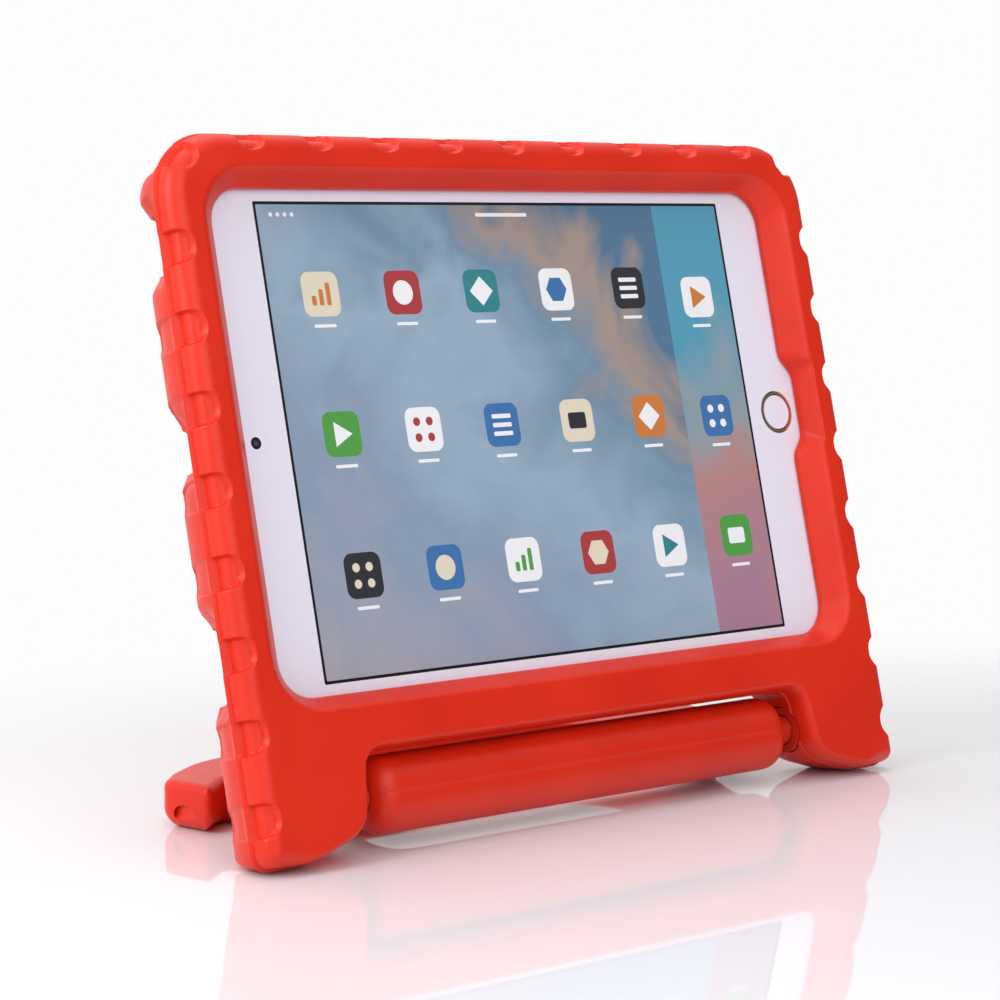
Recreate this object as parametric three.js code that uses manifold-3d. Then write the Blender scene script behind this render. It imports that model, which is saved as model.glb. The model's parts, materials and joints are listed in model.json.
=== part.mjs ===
// A children's foam tablet case that stands on its own swinging handle, with the tablet in it.
// Units are millimetres. +Z is up, +X runs along the long side of the screen, and the screen faces -Y.
//
// The case and the tablet are drawn in the case's own frame: x along the screen, y up the screen, z out of
// the glass, with 0,0,0 at the middle of the screen on the glass. The whole of it then leans back.
// The handle is drawn level, about its pivot, as it lies on the table behind the case.

import * as THREE from 'three';
import { mergeVertices } from 'three/addons/utils/BufferGeometryUtils.js';
import Module from 'manifold-3d';

const wasm = await Module();
wasm.setup();

// Posture
const LEAN_BACK = 13.8;                 // degrees that the case leans back from upright

// Fits
const SEAT_GAP = 0.3;                   // between a piece and what carries it
const PRESS_GAP = 0.1;                  // left under a button that is pressed home
const CUT_PAST = 1;                     // how far a cutter runs past the face that it cuts
const ROUND_END_FLAT = 0.05;            // half of the flat that a round end keeps at its tip

// Tablet
const TABLET_WIDTH = 203.2;
const TABLET_HEIGHT = 134.8;
const TABLET_THICKNESS = 6.1;
const TABLET_CORNER_RADIUS = 8.8;
const TABLET_BACK_ROUNDING = 2.4;
const GLASS_THICKNESS = 0.7;
const SHELL_WALL = 1.2;
const SHELL_FLOOR = 0.8;
const DISPLAY_SIDE_BORDER = 20.55;      // from the tablet's edges to the display panel
const DISPLAY_END_BORDER = 6.4;
const DISPLAY_THICKNESS = 1.4;
const HOME_BUTTON_FROM_EDGE = 9.8;
const HOME_BUTTON_DIAMETER = 9.8;
const HOME_RING_WIDTH = 0.6;
const HOME_RING_PROUD = 0.05;
const HOME_BUTTON_THICKNESS = 1.1;
const HOME_BUTTON_TRAVEL = 0.25;
const HOME_SWITCH_SIZE = 8;
const FRONT_CAMERA_FROM_EDGE = 10.8;
const FRONT_CAMERA_DIAMETER = 6;
const REAR_CAMERA_FROM_EDGE = 10.1;
const REAR_CAMERA_FROM_TOP = 12.4;
const REAR_CAMERA_DIAMETER = 7;
const REAR_LENS_THICKNESS = 0.5;
const EDGE_BUTTON_WIDTH = 2.2;
const EDGE_BUTTON_DEPTH = 2.6;
const EDGE_BUTTON_PROUD = 0.6;
const POWER_BUTTON_LENGTH = 9;
const POWER_BUTTON_FROM_TOP = 15.4;
const VOLUME_BUTTON_LENGTH = 9;
const VOLUME_UP_FROM_EDGE = 23.1;
const VOLUME_BUTTON_PITCH = 12;
const PORT_WIDTH = 9.4;
const PORT_HEIGHT = 3.2;
const PORT_DEPTH = 4.6;
const PORT_WALL = 0.5;
const JACK_FROM_BOTTOM = 14.4;
const JACK_WIDTH = 6;
const JACK_LENGTH = 12;
const JACK_BORE = 3.5;
const SPEAKER_LENGTH = 22;
const SPEAKER_DEPTH = 8;
const SPEAKER_Y = 28;
const CELL_MARGIN = 4;
const BATTERY_FROM_SIDE = 24.1;         // from the inside of the shell
const BATTERY_BELOW_BOARD = 9.8;
const BOARD_FROM_SIDE = 25.1;
const BOARD_HEIGHT = 16;

// Case body, one foam moulding
const SIDE_WALL = 9.4;                  // from the tablet's edge to the outside
const TOP_WALL = 10.6;
const BACK_WALL = 8.1;
const FRONT_RIM = 7.5;                  // from the glass to the front face
const FOOT_LENGTH = 36.3;               // below the tablet's lower edge
const FOOT_WIDTH = 35.1;                // at the recess's top
const FOOT_DRAFT = 2.6;                 // how much narrower the foot is at its inner corner
const CASE_TOP_RADIUS = 18;
const CASE_FOOT_RADIUS = 4;
const CASE_EDGE_ROUNDING = 5.5;         // of the front edge
const CASE_BACK_TAPER = 9;              // how far the sides round in towards the back
const CASE_BACK_TAPER_DEPTH = 14;
const RECESS_EDGE_SHARE = 0.4;          // of both, along the recess and the soles
const LIP_OVERLAP_SIDE = 6.1;           // how far the lip covers the tablet's short sides
const LIP_OVERLAP_TOP = 3.6;            // and its long sides
const LIP_TOP_Z = 2;
const WINDOW_RADIUS = 9.5;
const SLOPE_SIDE = 5.5;                 // width of the slope from the lip to the face, at the short sides
const SLOPE_TOP = 4.2;
const SLOPE_BOTTOM = 3.5;
const HOME_NOTCH_DEPTH = 4.1;
const HOME_NOTCH_HALF_HEIGHT = 9;
const HOME_NOTCH_FLARE = 5;
const HOME_NOTCH_Y = 1.5;
const NOTCH_SLOPE = 2.2;

// Recess for the handle's bar, between the two feet
const BAR_END_GAP = 3.6;
const BAR_TOP_GAP = 0.6;
const RECESS_RADIUS = 4.5;
const FOOT_INNER_RISE = 5.5;            // how much higher the foot's inner corner is than its sole
const SOLE_WIDTH = 15;
const SOLE_LINE_DEPTH = 2.99;           // from the glass back to where the sole's line meets the table
const FOOT_INNER_RADIUS = 10;
const SOLE_BLEND_RADIUS = 30;

// Grip grooves over the outer edge
const GROOVE_WIDTH = 8.6;
const GROOVE_REACH = 5.8;
const GROOVE_DEPTH = 1.4;
const SIDE_GROOVE_PITCH = 19.97;
const SIDE_GROOVE_FROM_TOP = 29.7;
const SIDE_GROOVE_COUNT = 8;
const TOP_GROOVE_FROM_SIDE = 27.3;
const TOP_GROOVE_PITCH = 21.4;
const TOP_GROOVE_COUNT = 9;

// Cut-outs in the rear half of the walls, open to the back
const CUTOUT_FRONT_Z = -0.6;
const CUTOUT_RADIUS = 2;
const POWER_CUTOUT = 15;
const MICROPHONE_Y = 0.5;
const MICROPHONE_CUTOUT = 11;
const JACK_CUTOUT = 19;
const PORT_CUTOUT = 18;
const SPEAKER_CUTOUT = 16;
const CAMERA_CUTOUT_DIAMETER = 15;

// Handle, one foam moulding: a bar in the recess, two arms and a wide grip
const BAR_HEIGHT = 20;
const BAR_DEPTH = 18;
const BAR_ROUNDING = 8.5;
const BAR_END_ROUNDING = 6;
const PIVOT_ABOVE_SOLE = 14.2;
const PIVOT_DEPTH = 4.5;                // behind the glass
const GRIP_THICKNESS = 12.6;
const ARM_ROOT_THICKNESS = 16.4;
const ARM_ROOT_LIFT = 3.8;              // the arms' underside at the bar, above the table
const ARM_LEVEL_FROM = 39;              // behind the pivot, where the arms have come down to the grip
const HANDLE_TOP_ROUNDING = 2.4;
const HANDLE_UNDER_ROUNDING = 5.2;
const ARM_RUN = 8;                      // longest straight run along an arm as it comes down
const ARM_WIDTH = 20.5;
const ARM_ROOT_RADIUS = 2;
const ARM_BEND = 2;                     // how far the arms are drawn in halfway along
const ARM_BEND_RADIUS = 30;
const WAIST_PAST_BAR = 6;               // wider than the bar, each side, where the arms meet the grip
const WAIST_BACK = 48;                  // this and the next two are measured back from the pivot
const WING_FRONT = 38;
const WING_BACK = 62;
const WING_FRONT_PAST_BAR = 18.5;
const WING_FRONT_RADIUS = 1.5;
const WING_CORNER = 7;
const WING_SIDE_RADIUS = 5;
const GRIP_PAST_BAR = 21.5;
const GRIP_BOW = 19;                    // how far the grip's back bulges behind its ends
const GRIP_BOW_BENDS = [                // shares of the half width and of the bow, and the bend's radius
  [0.79, 0.45, 30],
  [0.5, 0.84, 60],
  [0.2, 1, 90],
];
const GRIP_DEPTH = 27;
const OPENING_WEB = 3;
const OPENING_RADIUS = 12;
const DIMPLE_BACK = 9;
const DIMPLE_LENGTH = 8;
const DIMPLE_HEIGHT = 3.6;
const DIMPLE_DEPTH = 0.8;

// Hinge hardware
const PIN_DIAMETER = 8;
const PIN_IN_BAR = 14;
const PIN_IN_FOOT = 17;
const BUSH_WALL = 2;
const BUSH_SET_BACK = 1.5;              // from the recess's wall

// How finely round shapes are cut, in degrees or steps
const ARC_STEP = 18;
const ROUNDING_STEPS = 3;
const TAPER_STEPS = 4;
const ROUND_SIDES = 24;
const SMALL_ROUND_SIDES = 12;

// Worked out from the sizes above
const PANEL_HALF_X = TABLET_WIDTH / 2;
const PANEL_HALF_Y = TABLET_HEIGHT / 2;
const HOME_BUTTON_X = PANEL_HALF_X - HOME_BUTTON_FROM_EDGE;
const FRONT_CAMERA_X = FRONT_CAMERA_FROM_EDGE - PANEL_HALF_X;
const REAR_CAMERA_X = REAR_CAMERA_FROM_EDGE - PANEL_HALF_X;
const REAR_CAMERA_Y = PANEL_HALF_Y - REAR_CAMERA_FROM_TOP;
const POWER_BUTTON_Y = PANEL_HALF_Y - POWER_BUTTON_FROM_TOP;
const VOLUME_UP_X = VOLUME_UP_FROM_EDGE - PANEL_HALF_X;
const VOLUME_DOWN_X = VOLUME_UP_X + VOLUME_BUTTON_PITCH;
const JACK_Y = JACK_FROM_BOTTOM - PANEL_HALF_Y;
const CASE_HALF_WIDTH = PANEL_HALF_X + SIDE_WALL;
const CASE_TOP_Y = PANEL_HALF_Y + TOP_WALL;
const FOOT_BOTTOM_Y = -PANEL_HALF_Y - FOOT_LENGTH;
const CASE_FACE_Z = FRONT_RIM;
const CASE_BACK_Z = -TABLET_THICKNESS - SEAT_GAP - BACK_WALL;
const POCKET_HALF_X = PANEL_HALF_X + SEAT_GAP;
const POCKET_HALF_Y = PANEL_HALF_Y + SEAT_GAP;
const WINDOW_HALF_X = PANEL_HALF_X - LIP_OVERLAP_SIDE;
const WINDOW_HALF_Y = PANEL_HALF_Y - LIP_OVERLAP_TOP;
const PIVOT_Y = FOOT_BOTTOM_Y + PIVOT_ABOVE_SOLE;
const PIVOT_Z = -PIVOT_DEPTH;
const RECESS_TOP_Y = PIVOT_Y + BAR_HEIGHT / 2 + BAR_TOP_GAP;
const RECESS_HALF_X = CASE_HALF_WIDTH - FOOT_WIDTH;
const BAR_HALF_LENGTH = RECESS_HALF_X - BAR_END_GAP;
const WAIST_HALF_WIDTH = BAR_HALF_LENGTH + WAIST_PAST_BAR;
const WING_FRONT_HALF_WIDTH = BAR_HALF_LENGTH + WING_FRONT_PAST_BAR;
const GRIP_HALF_WIDTH = BAR_HALF_LENGTH + GRIP_PAST_BAR;
const SHELL_TOP_Z = -GLASS_THICKNESS - SEAT_GAP;
const INSIDE_FLOOR_Z = -TABLET_THICKNESS + SHELL_FLOOR;
const LOWEST_INSIDE_Z = INSIDE_FLOOR_Z + SEAT_GAP;
const EDGE_MIDDLE_Z = (SHELL_TOP_Z + INSIDE_FLOOR_Z) / 2;
const BUSH_RADIUS = PIN_DIAMETER / 2 + SEAT_GAP + BUSH_WALL;
const BUSH_START = RECESS_HALF_X + BUSH_SET_BACK;
const BUSH_END = RECESS_HALF_X + PIN_IN_FOOT + SEAT_GAP;
const LEAN = THREE.MathUtils.degToRad(LEAN_BACK);
const SCREEN_CENTRE_HEIGHT = -FOOT_BOTTOM_Y * Math.cos(LEAN) + SOLE_LINE_DEPTH * Math.sin(LEAN);
const PIVOT_HEIGHT = PIVOT_Y * Math.cos(LEAN) + PIVOT_Z * Math.sin(LEAN) + SCREEN_CENTRE_HEIGHT;
const PIVOT_BACK = PIVOT_Y * Math.sin(LEAN) - PIVOT_Z * Math.cos(LEAN);

// Colours and finishes
const redFoam = new THREE.MeshStandardMaterial({ color: 0xd4321f, roughness: 0.55, metalness: 0 });
const whitePlastic = new THREE.MeshStandardMaterial({ color: 0xe9e6ee, roughness: 0.25, metalness: 0 });
const blackGlass = new THREE.MeshStandardMaterial({ color: 0x10131f, roughness: 0.08, metalness: 0 });
const litDisplay = new THREE.MeshStandardMaterial({ color: 0x5f8ea6, roughness: 0.15, metalness: 0 });
const aluminium = new THREE.MeshStandardMaterial({ color: 0xc9c6c4, roughness: 0.35, metalness: 1 });
const goldRing = new THREE.MeshStandardMaterial({ color: 0xd9bf9c, roughness: 0.25, metalness: 1 });
const coverGlass = new THREE.MeshStandardMaterial({
  color: 0xf2f0f6, roughness: 0.05, metalness: 0, transparent: true, opacity: 0.35,
});
const redPlastic = new THREE.MeshStandardMaterial({ color: 0xb42414, roughness: 0.4, metalness: 0 });
const darkPlastic = new THREE.MeshStandardMaterial({ color: 0x26272b, roughness: 0.5, metalness: 0 });
const greenBoard = new THREE.MeshStandardMaterial({ color: 0x1f5a3c, roughness: 0.6, metalness: 0 });
const cellFoil = new THREE.MeshStandardMaterial({ color: 0x3a3d44, roughness: 0.4, metalness: 0.3 });

// Solids
function solidOf(geometry) {
  const bare = geometry.index ? geometry.clone() : geometry;
  bare.deleteAttribute('normal');
  bare.deleteAttribute('uv');
  const merged = mergeVertices(bare, 1e-4);
  return new wasm.Manifold(new wasm.Mesh({
    numProp: 3,
    vertProperties: new Float32Array(merged.attributes.position.array),
    triVerts: new Uint32Array(merged.index.array),
  }));
}

function geometryOf(solid) {
  const mesh = solid.getMesh();
  const geometry = new THREE.BufferGeometry();
  geometry.setAttribute('position', new THREE.BufferAttribute(new Float32Array(mesh.vertProperties), 3));
  geometry.setIndex(new THREE.BufferAttribute(new Uint32Array(mesh.triVerts), 1));
  geometry.computeVertexNormals();
  return geometry;
}

function boxSolid(low, high) {
  const size = new THREE.Vector3().subVectors(high, low);
  const middle = new THREE.Vector3().addVectors(low, high).multiplyScalar(0.5);
  const geometry = new THREE.BoxGeometry(size.x, size.y, size.z);
  return solidOf(geometry.translate(middle.x, middle.y, middle.z));
}

function rodAlongX(radius, fromX, toX, y, z, sides = ROUND_SIDES) {
  const geometry = new THREE.CylinderGeometry(radius, radius, toX - fromX, sides);
  return solidOf(geometry.rotateZ(Math.PI / 2).translate((fromX + toX) / 2, y, z));
}

function rodAlongZ(radius, x, y, fromZ, toZ, sides = ROUND_SIDES) {
  const geometry = new THREE.CylinderGeometry(radius, radius, toZ - fromZ, sides);
  return solidOf(geometry.rotateX(Math.PI / 2).translate(x, y, (fromZ + toZ) / 2));
}

// A closed outline through corners [x, y, radius], counterclockwise, moved inwards by inset.
// Each corner gives the same number of points at every inset, so outlines can be lofted.
function roundedOutline(corners, inset = 0) {
  const count = corners.length;
  const points = [];
  const edgeLine = (i) => {
    const a = new THREE.Vector2(corners[i][0], corners[i][1]);
    const next = corners[(i + 1) % count];
    const along = new THREE.Vector2(next[0], next[1]).sub(a).normalize();
    const inward = new THREE.Vector2(-along.y, along.x);
    return { start: a.addScaledVector(inward, inset), along };
  };
  for (let i = 0; i < count; i += 1) {
    const before = edgeLine((i + count - 1) % count);
    const after = edgeLine(i);
    const turn = before.along.cross(after.along);
    const gap = new THREE.Vector2().subVectors(after.start, before.start);
    const corner = before.start.clone().addScaledVector(before.along, gap.cross(after.along) / turn);
    const angle = Math.atan2(turn, before.along.dot(after.along));
    const side = Math.sign(angle);
    const radius = Math.max(corners[i][2] - side * inset, 0.2);
    const back = radius * Math.tan(Math.abs(angle) / 2);
    const centre = corner.clone().addScaledVector(before.along, -back);
    centre.add(new THREE.Vector2(-before.along.y, before.along.x).multiplyScalar(side * radius));
    const startAngle = Math.atan2(-before.along.x * side, before.along.y * side);
    const steps = Math.max(1, Math.round(THREE.MathUtils.radToDeg(Math.abs(angle)) / ARC_STEP));
    for (let k = 0; k <= steps; k += 1) {
      const turned = startAngle + (angle * k) / steps;
      points.push(new THREE.Vector2(Math.cos(turned), Math.sin(turned)).multiplyScalar(radius).add(centre));
    }
  }
  return points;
}

function rectangleCorners(lowX, lowY, highX, highY, radius) {
  return [[highX, lowY, radius], [highX, highY, radius], [lowX, highY, radius], [lowX, lowY, radius]];
}

// A closed solid through rings of outline points. A ring is { outline, hole, heightAt }, lowest ring first.
function loftSolid(rings) {
  const positions = [];
  const indices = [];
  const loops = rings.map((ring) => [ring.outline, ...(ring.hole ? [ring.hole] : [])]);
  const starts = loops.map((ringLoops, r) => ringLoops.map((loop) => {
    const start = positions.length / 3;
    loop.forEach((p) => positions.push(p.x, p.y, rings[r].heightAt(p)));
    return start;
  }));
  for (let r = 0; r + 1 < rings.length; r += 1) {
    loops[r].forEach((loop, l) => {
      for (let i = 0; i < loop.length; i += 1) {
        const j = (i + 1) % loop.length;
        const [a, b] = [starts[r][l] + i, starts[r][l] + j];
        const [c, d] = [starts[r + 1][l] + j, starts[r + 1][l] + i];
        indices.push(...(l === 0 ? [a, b, c, a, c, d] : [a, c, b, a, d, c]));
      }
    });
  }
  [0, rings.length - 1].forEach((r) => {
    const [outline, ...holes] = loops[r];
    const vertex = [...outline.keys()].map((i) => starts[r][0] + i);
    holes.forEach((hole, h) => vertex.push(...[...hole.keys()].map((i) => starts[r][h + 1] + i)));
    THREE.ShapeUtils.triangulateShape(outline, holes).forEach(([a, b, c]) => {
      const face = r === 0 ? [a, c, b] : [a, b, c];
      indices.push(...face.map((i) => vertex[i]));
    });
  });
  const geometry = new THREE.BufferGeometry();
  geometry.setAttribute('position', new THREE.Float32BufferAttribute(positions, 3));
  geometry.setIndex(indices);
  return solidOf(geometry);
}

function prismSolid(outline, fromZ, toZ) {
  return loftSolid([fromZ, toZ].map((z) => ({ outline, heightAt: () => z })));
}

// Insets and heights of a quarter-round edge, from the side wall (0) round to the face (width)
function quarterRound(width, depth = width, steps = ROUNDING_STEPS) {
  return Array.from({ length: steps + 1 }, (_, k) => {
    const angle = (k / steps) * (Math.PI / 2);
    return { inset: width * (1 - Math.cos(angle)), drop: depth * (1 - Math.sin(angle)) };
  });
}

const model = new THREE.Group();
const leaning = new THREE.Group();
leaning.rotation.x = Math.PI / 2 - LEAN;
leaning.position.z = SCREEN_CENTRE_HEIGHT;
model.add(leaning);

function addPiece(group, name, solid, material) {
  const mesh = new THREE.Mesh(geometryOf(solid), material);
  mesh.name = name;
  group.add(mesh);
}

// Case body
function caseCorners() {
  const right = [
    [CASE_HALF_WIDTH, FOOT_BOTTOM_Y, CASE_FOOT_RADIUS],
    [CASE_HALF_WIDTH, CASE_TOP_Y, CASE_TOP_RADIUS],
  ];
  const recess = [
    [CASE_HALF_WIDTH - SOLE_WIDTH, FOOT_BOTTOM_Y, SOLE_BLEND_RADIUS],
    [RECESS_HALF_X + FOOT_DRAFT, FOOT_BOTTOM_Y + FOOT_INNER_RISE, FOOT_INNER_RADIUS],
    [RECESS_HALF_X, RECESS_TOP_Y, RECESS_RADIUS],
  ];
  const mirrored = (corners) => corners.map(([x, y, r]) => [-x, y, r]);
  return [...right, ...mirrored(right).reverse(), ...mirrored(recess), ...recess.reverse()];
}

// 1 where the case's edge is fully rounded, and 0 along the recess, with a change along the soles
function roundingShare(p) {
  const soleEnd = CASE_HALF_WIDTH - CASE_FOOT_RADIUS - ROUND_END_FLAT;
  const soleStart = CASE_HALF_WIDTH - SOLE_WIDTH;
  return p.y > 0 ? 1 : THREE.MathUtils.smoothstep(Math.abs(p.x), soleStart, soleEnd);
}

// The outside of the case, or with shrink the same shape taken in all over
function caseOutside(shrink = 0) {
  const corners = caseCorners();
  const edge = roundedOutline(corners, shrink);
  const ring = (inset, z) => {
    const full = roundedOutline(corners, inset + shrink);
    const outline = edge.map((p, i) => {
      const share = THREE.MathUtils.lerp(RECESS_EDGE_SHARE, 1, roundingShare(p));
      return p.clone().lerp(full[i], share);
    });
    return { outline, heightAt: () => z };
  };
  const back = quarterRound(CASE_BACK_TAPER - shrink, CASE_BACK_TAPER_DEPTH - shrink, TAPER_STEPS)
    .toReversed().map(({ inset, drop }) => ring(inset, CASE_BACK_Z + shrink + drop));
  const face = quarterRound(CASE_EDGE_ROUNDING - shrink)
    .map(({ inset, drop }) => ring(inset, CASE_FACE_Z - shrink - drop));
  return loftSolid([...back, ...face]);
}

// One groove's plan: a tongue with a round end, lying along +x from outside the edge at x = 0
function grooveOutline() {
  const half = GROOVE_WIDTH / 2;
  return roundedOutline(
    rectangleCorners(-2 * CUT_PAST - GROOVE_DEPTH, -half, GROOVE_REACH, half, 0.2)
      .map(([x, y, r]) => [x, y, x > 0 ? half - ROUND_END_FLAT : r]),
  );
}

function grooveCutters() {
  const places = [];
  for (let k = 0; k < SIDE_GROOVE_COUNT; k += 1) {
    const y = CASE_TOP_Y - SIDE_GROOVE_FROM_TOP - k * SIDE_GROOVE_PITCH;
    places.push({ x: -CASE_HALF_WIDTH, y, angle: 0 });
    places.push({ x: CASE_HALF_WIDTH, y, angle: Math.PI });
  }
  for (let k = 0; k < TOP_GROOVE_COUNT; k += 1) {
    const x = -CASE_HALF_WIDTH + TOP_GROOVE_FROM_SIDE + k * TOP_GROOVE_PITCH;
    places.push({ x, y: CASE_TOP_Y, angle: -Math.PI / 2 });
  }
  const cornerCut = CASE_TOP_RADIUS * (1 - Math.SQRT1_2);
  [-1, 1].forEach((side) => places.push({
    x: side * (CASE_HALF_WIDTH - cornerCut),
    y: CASE_TOP_Y - cornerCut,
    angle: side < 0 ? -Math.PI / 4 : (-3 * Math.PI) / 4,
  }));
  return places.map(({ x, y, angle }) => {
    const outline = grooveOutline().map((p) => p.rotateAround(new THREE.Vector2(), angle));
    outline.forEach((p) => p.add(new THREE.Vector2(x, y)));
    return prismSolid(outline, CASE_BACK_Z - CUT_PAST, CASE_FACE_Z + CUT_PAST);
  });
}

function windowCutter() {
  const lip = rectangleCorners(-WINDOW_HALF_X, -WINDOW_HALF_Y, WINDOW_HALF_X, WINDOW_HALF_Y, WINDOW_RADIUS);
  const faceX = WINDOW_HALF_X + SLOPE_SIDE;
  const face = rectangleCorners(
    -faceX,
    -WINDOW_HALF_Y - SLOPE_BOTTOM,
    faceX,
    WINDOW_HALF_Y + SLOPE_TOP,
    WINDOW_RADIUS + SLOPE_TOP,
  );
  const ring = (corners, z) => ({ outline: roundedOutline(corners), heightAt: () => z });
  return loftSolid([
    ring(lip, -CUT_PAST),
    ring(lip, LIP_TOP_Z),
    ring(face, CASE_FACE_Z),
    ring(face, CASE_FACE_Z + CUT_PAST),
  ]);
}

// The window's bulge round the home button
function homeNotchCutter() {
  const corners = (grow) => {
    const outerX = WINDOW_HALF_X + HOME_NOTCH_DEPTH + grow;
    const half = HOME_NOTCH_HALF_HEIGHT + grow;
    const wide = half + HOME_NOTCH_FLARE;
    return [
      [outerX, HOME_NOTCH_Y - half, HOME_NOTCH_FLARE],
      [outerX, HOME_NOTCH_Y + half, HOME_NOTCH_FLARE],
      [WINDOW_HALF_X - CUT_PAST, HOME_NOTCH_Y + wide, 0.2],
      [WINDOW_HALF_X - CUT_PAST, HOME_NOTCH_Y - wide, 0.2],
    ];
  };
  const ring = (grow, z) => ({ outline: roundedOutline(corners(grow)), heightAt: () => z });
  return loftSolid([
    ring(0, -CUT_PAST),
    ring(0, LIP_TOP_Z),
    ring(NOTCH_SLOPE, CASE_FACE_Z),
    ring(NOTCH_SLOPE, CASE_FACE_Z + CUT_PAST),
  ]);
}

function pocketCutter() {
  const corners = rectangleCorners(
    -POCKET_HALF_X, -POCKET_HALF_Y, POCKET_HALF_X, POCKET_HALF_Y, TABLET_CORNER_RADIUS + SEAT_GAP,
  );
  return prismSolid(roundedOutline(corners), -TABLET_THICKNESS - SEAT_GAP, SEAT_GAP);
}

// A notch through a wall from the pocket to the outside and out through the back
function wallCutout(lowX, lowY, highX, highY) {
  const corners = rectangleCorners(lowX, lowY, highX, highY, CUTOUT_RADIUS);
  return prismSolid(roundedOutline(corners), CASE_BACK_Z - CUT_PAST, CUTOUT_FRONT_Z);
}

function wallCutouts() {
  const outer = CASE_HALF_WIDTH + CUT_PAST + CUTOUT_RADIUS;
  const inner = POCKET_HALF_X - CUT_PAST;
  const left = (y, length) => wallCutout(-outer, y - length / 2, -inner, y + length / 2);
  const right = (y, length) => wallCutout(inner, y - length / 2, outer, y + length / 2);
  const volumeHalf = (VOLUME_DOWN_X - VOLUME_UP_X + VOLUME_BUTTON_LENGTH) / 2 + CUTOUT_RADIUS;
  const volumeX = (VOLUME_UP_X + VOLUME_DOWN_X) / 2;
  return [
    left(POWER_BUTTON_Y, POWER_CUTOUT),
    left(MICROPHONE_Y, MICROPHONE_CUTOUT),
    left(JACK_Y, JACK_CUTOUT),
    right(0, PORT_CUTOUT),
    right(SPEAKER_Y, SPEAKER_CUTOUT),
    right(-SPEAKER_Y, SPEAKER_CUTOUT),
    wallCutout(
      volumeX - volumeHalf,
      POCKET_HALF_Y - CUT_PAST,
      volumeX + volumeHalf,
      CASE_TOP_Y + CUT_PAST + CUTOUT_RADIUS,
    ),
  ];
}

// Everything below the table, in the case's frame, so that the feet stand on true flats
function belowTable() {
  const size = 4 * CASE_HALF_WIDTH;
  const geometry = new THREE.BoxGeometry(size, size, size).translate(0, -size / 2, 0);
  geometry.rotateX(LEAN);
  return solidOf(geometry.translate(
    0, -SCREEN_CENTRE_HEIGHT * Math.cos(LEAN), -SCREEN_CENTRE_HEIGHT * Math.sin(LEAN),
  ));
}

function caseBody() {
  const grooves = wasm.Manifold.union(grooveCutters()).subtract(caseOutside(GROOVE_DEPTH));
  const sockets = [-1, 1].map((side) => {
    const ends = [side * (RECESS_HALF_X - CUT_PAST), side * (BUSH_END + SEAT_GAP)].sort((a, b) => a - b);
    return rodAlongX(BUSH_RADIUS + SEAT_GAP, ...ends, PIVOT_Y, PIVOT_Z);
  });
  const cameraHole = rodAlongZ(
    CAMERA_CUTOUT_DIAMETER / 2, REAR_CAMERA_X, REAR_CAMERA_Y, CASE_BACK_Z - CUT_PAST, -TABLET_THICKNESS,
  );
  const cuts = [
    grooves, windowCutter(), homeNotchCutter(), pocketCutter(), cameraHole,
    ...wallCutouts(), ...sockets, belowTable(),
  ];
  return caseOutside().subtract(wasm.Manifold.union(cuts));
}

addPiece(leaning, 'case_body', caseBody(), redFoam);

// Tablet
function tabletOutline(inset) {
  const corners = rectangleCorners(
    -PANEL_HALF_X, -PANEL_HALF_Y, PANEL_HALF_X, PANEL_HALF_Y, TABLET_CORNER_RADIUS,
  );
  return roundedOutline(corners, inset);
}

// A pill along an edge of the tablet: side is the outward direction in the plane of the screen
function edgeButtonSolid(x, y, side, length, grow, outward, inward) {
  const [halfX, halfY] = [length / 2 + grow, EDGE_BUTTON_WIDTH / 2 + grow];
  const pill = roundedOutline(rectangleCorners(-halfX, -halfY, halfX, halfY, halfY - ROUND_END_FLAT));
  const basis = new THREE.Matrix4().makeBasis(
    new THREE.Vector3(-side.y, side.x, 0), new THREE.Vector3(0, 0, 1), new THREE.Vector3(side.x, side.y, 0),
  );
  basis.setPosition(x, y, EDGE_MIDDLE_Z);
  const pillSolid = prismSolid(pill, -inward, outward);
  return solidOf(geometryOf(pillSolid).applyMatrix4(basis));
}

const edgeButtons = [
  {
    name: 'power_button', x: -PANEL_HALF_X, y: POWER_BUTTON_Y, side: new THREE.Vector2(-1, 0),
    length: POWER_BUTTON_LENGTH,
  },
  {
    name: 'volume_up_button', x: VOLUME_UP_X, y: PANEL_HALF_Y, side: new THREE.Vector2(0, 1),
    length: VOLUME_BUTTON_LENGTH,
  },
  {
    name: 'volume_down_button', x: VOLUME_DOWN_X, y: PANEL_HALF_Y, side: new THREE.Vector2(0, 1),
    length: VOLUME_BUTTON_LENGTH,
  },
];

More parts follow.
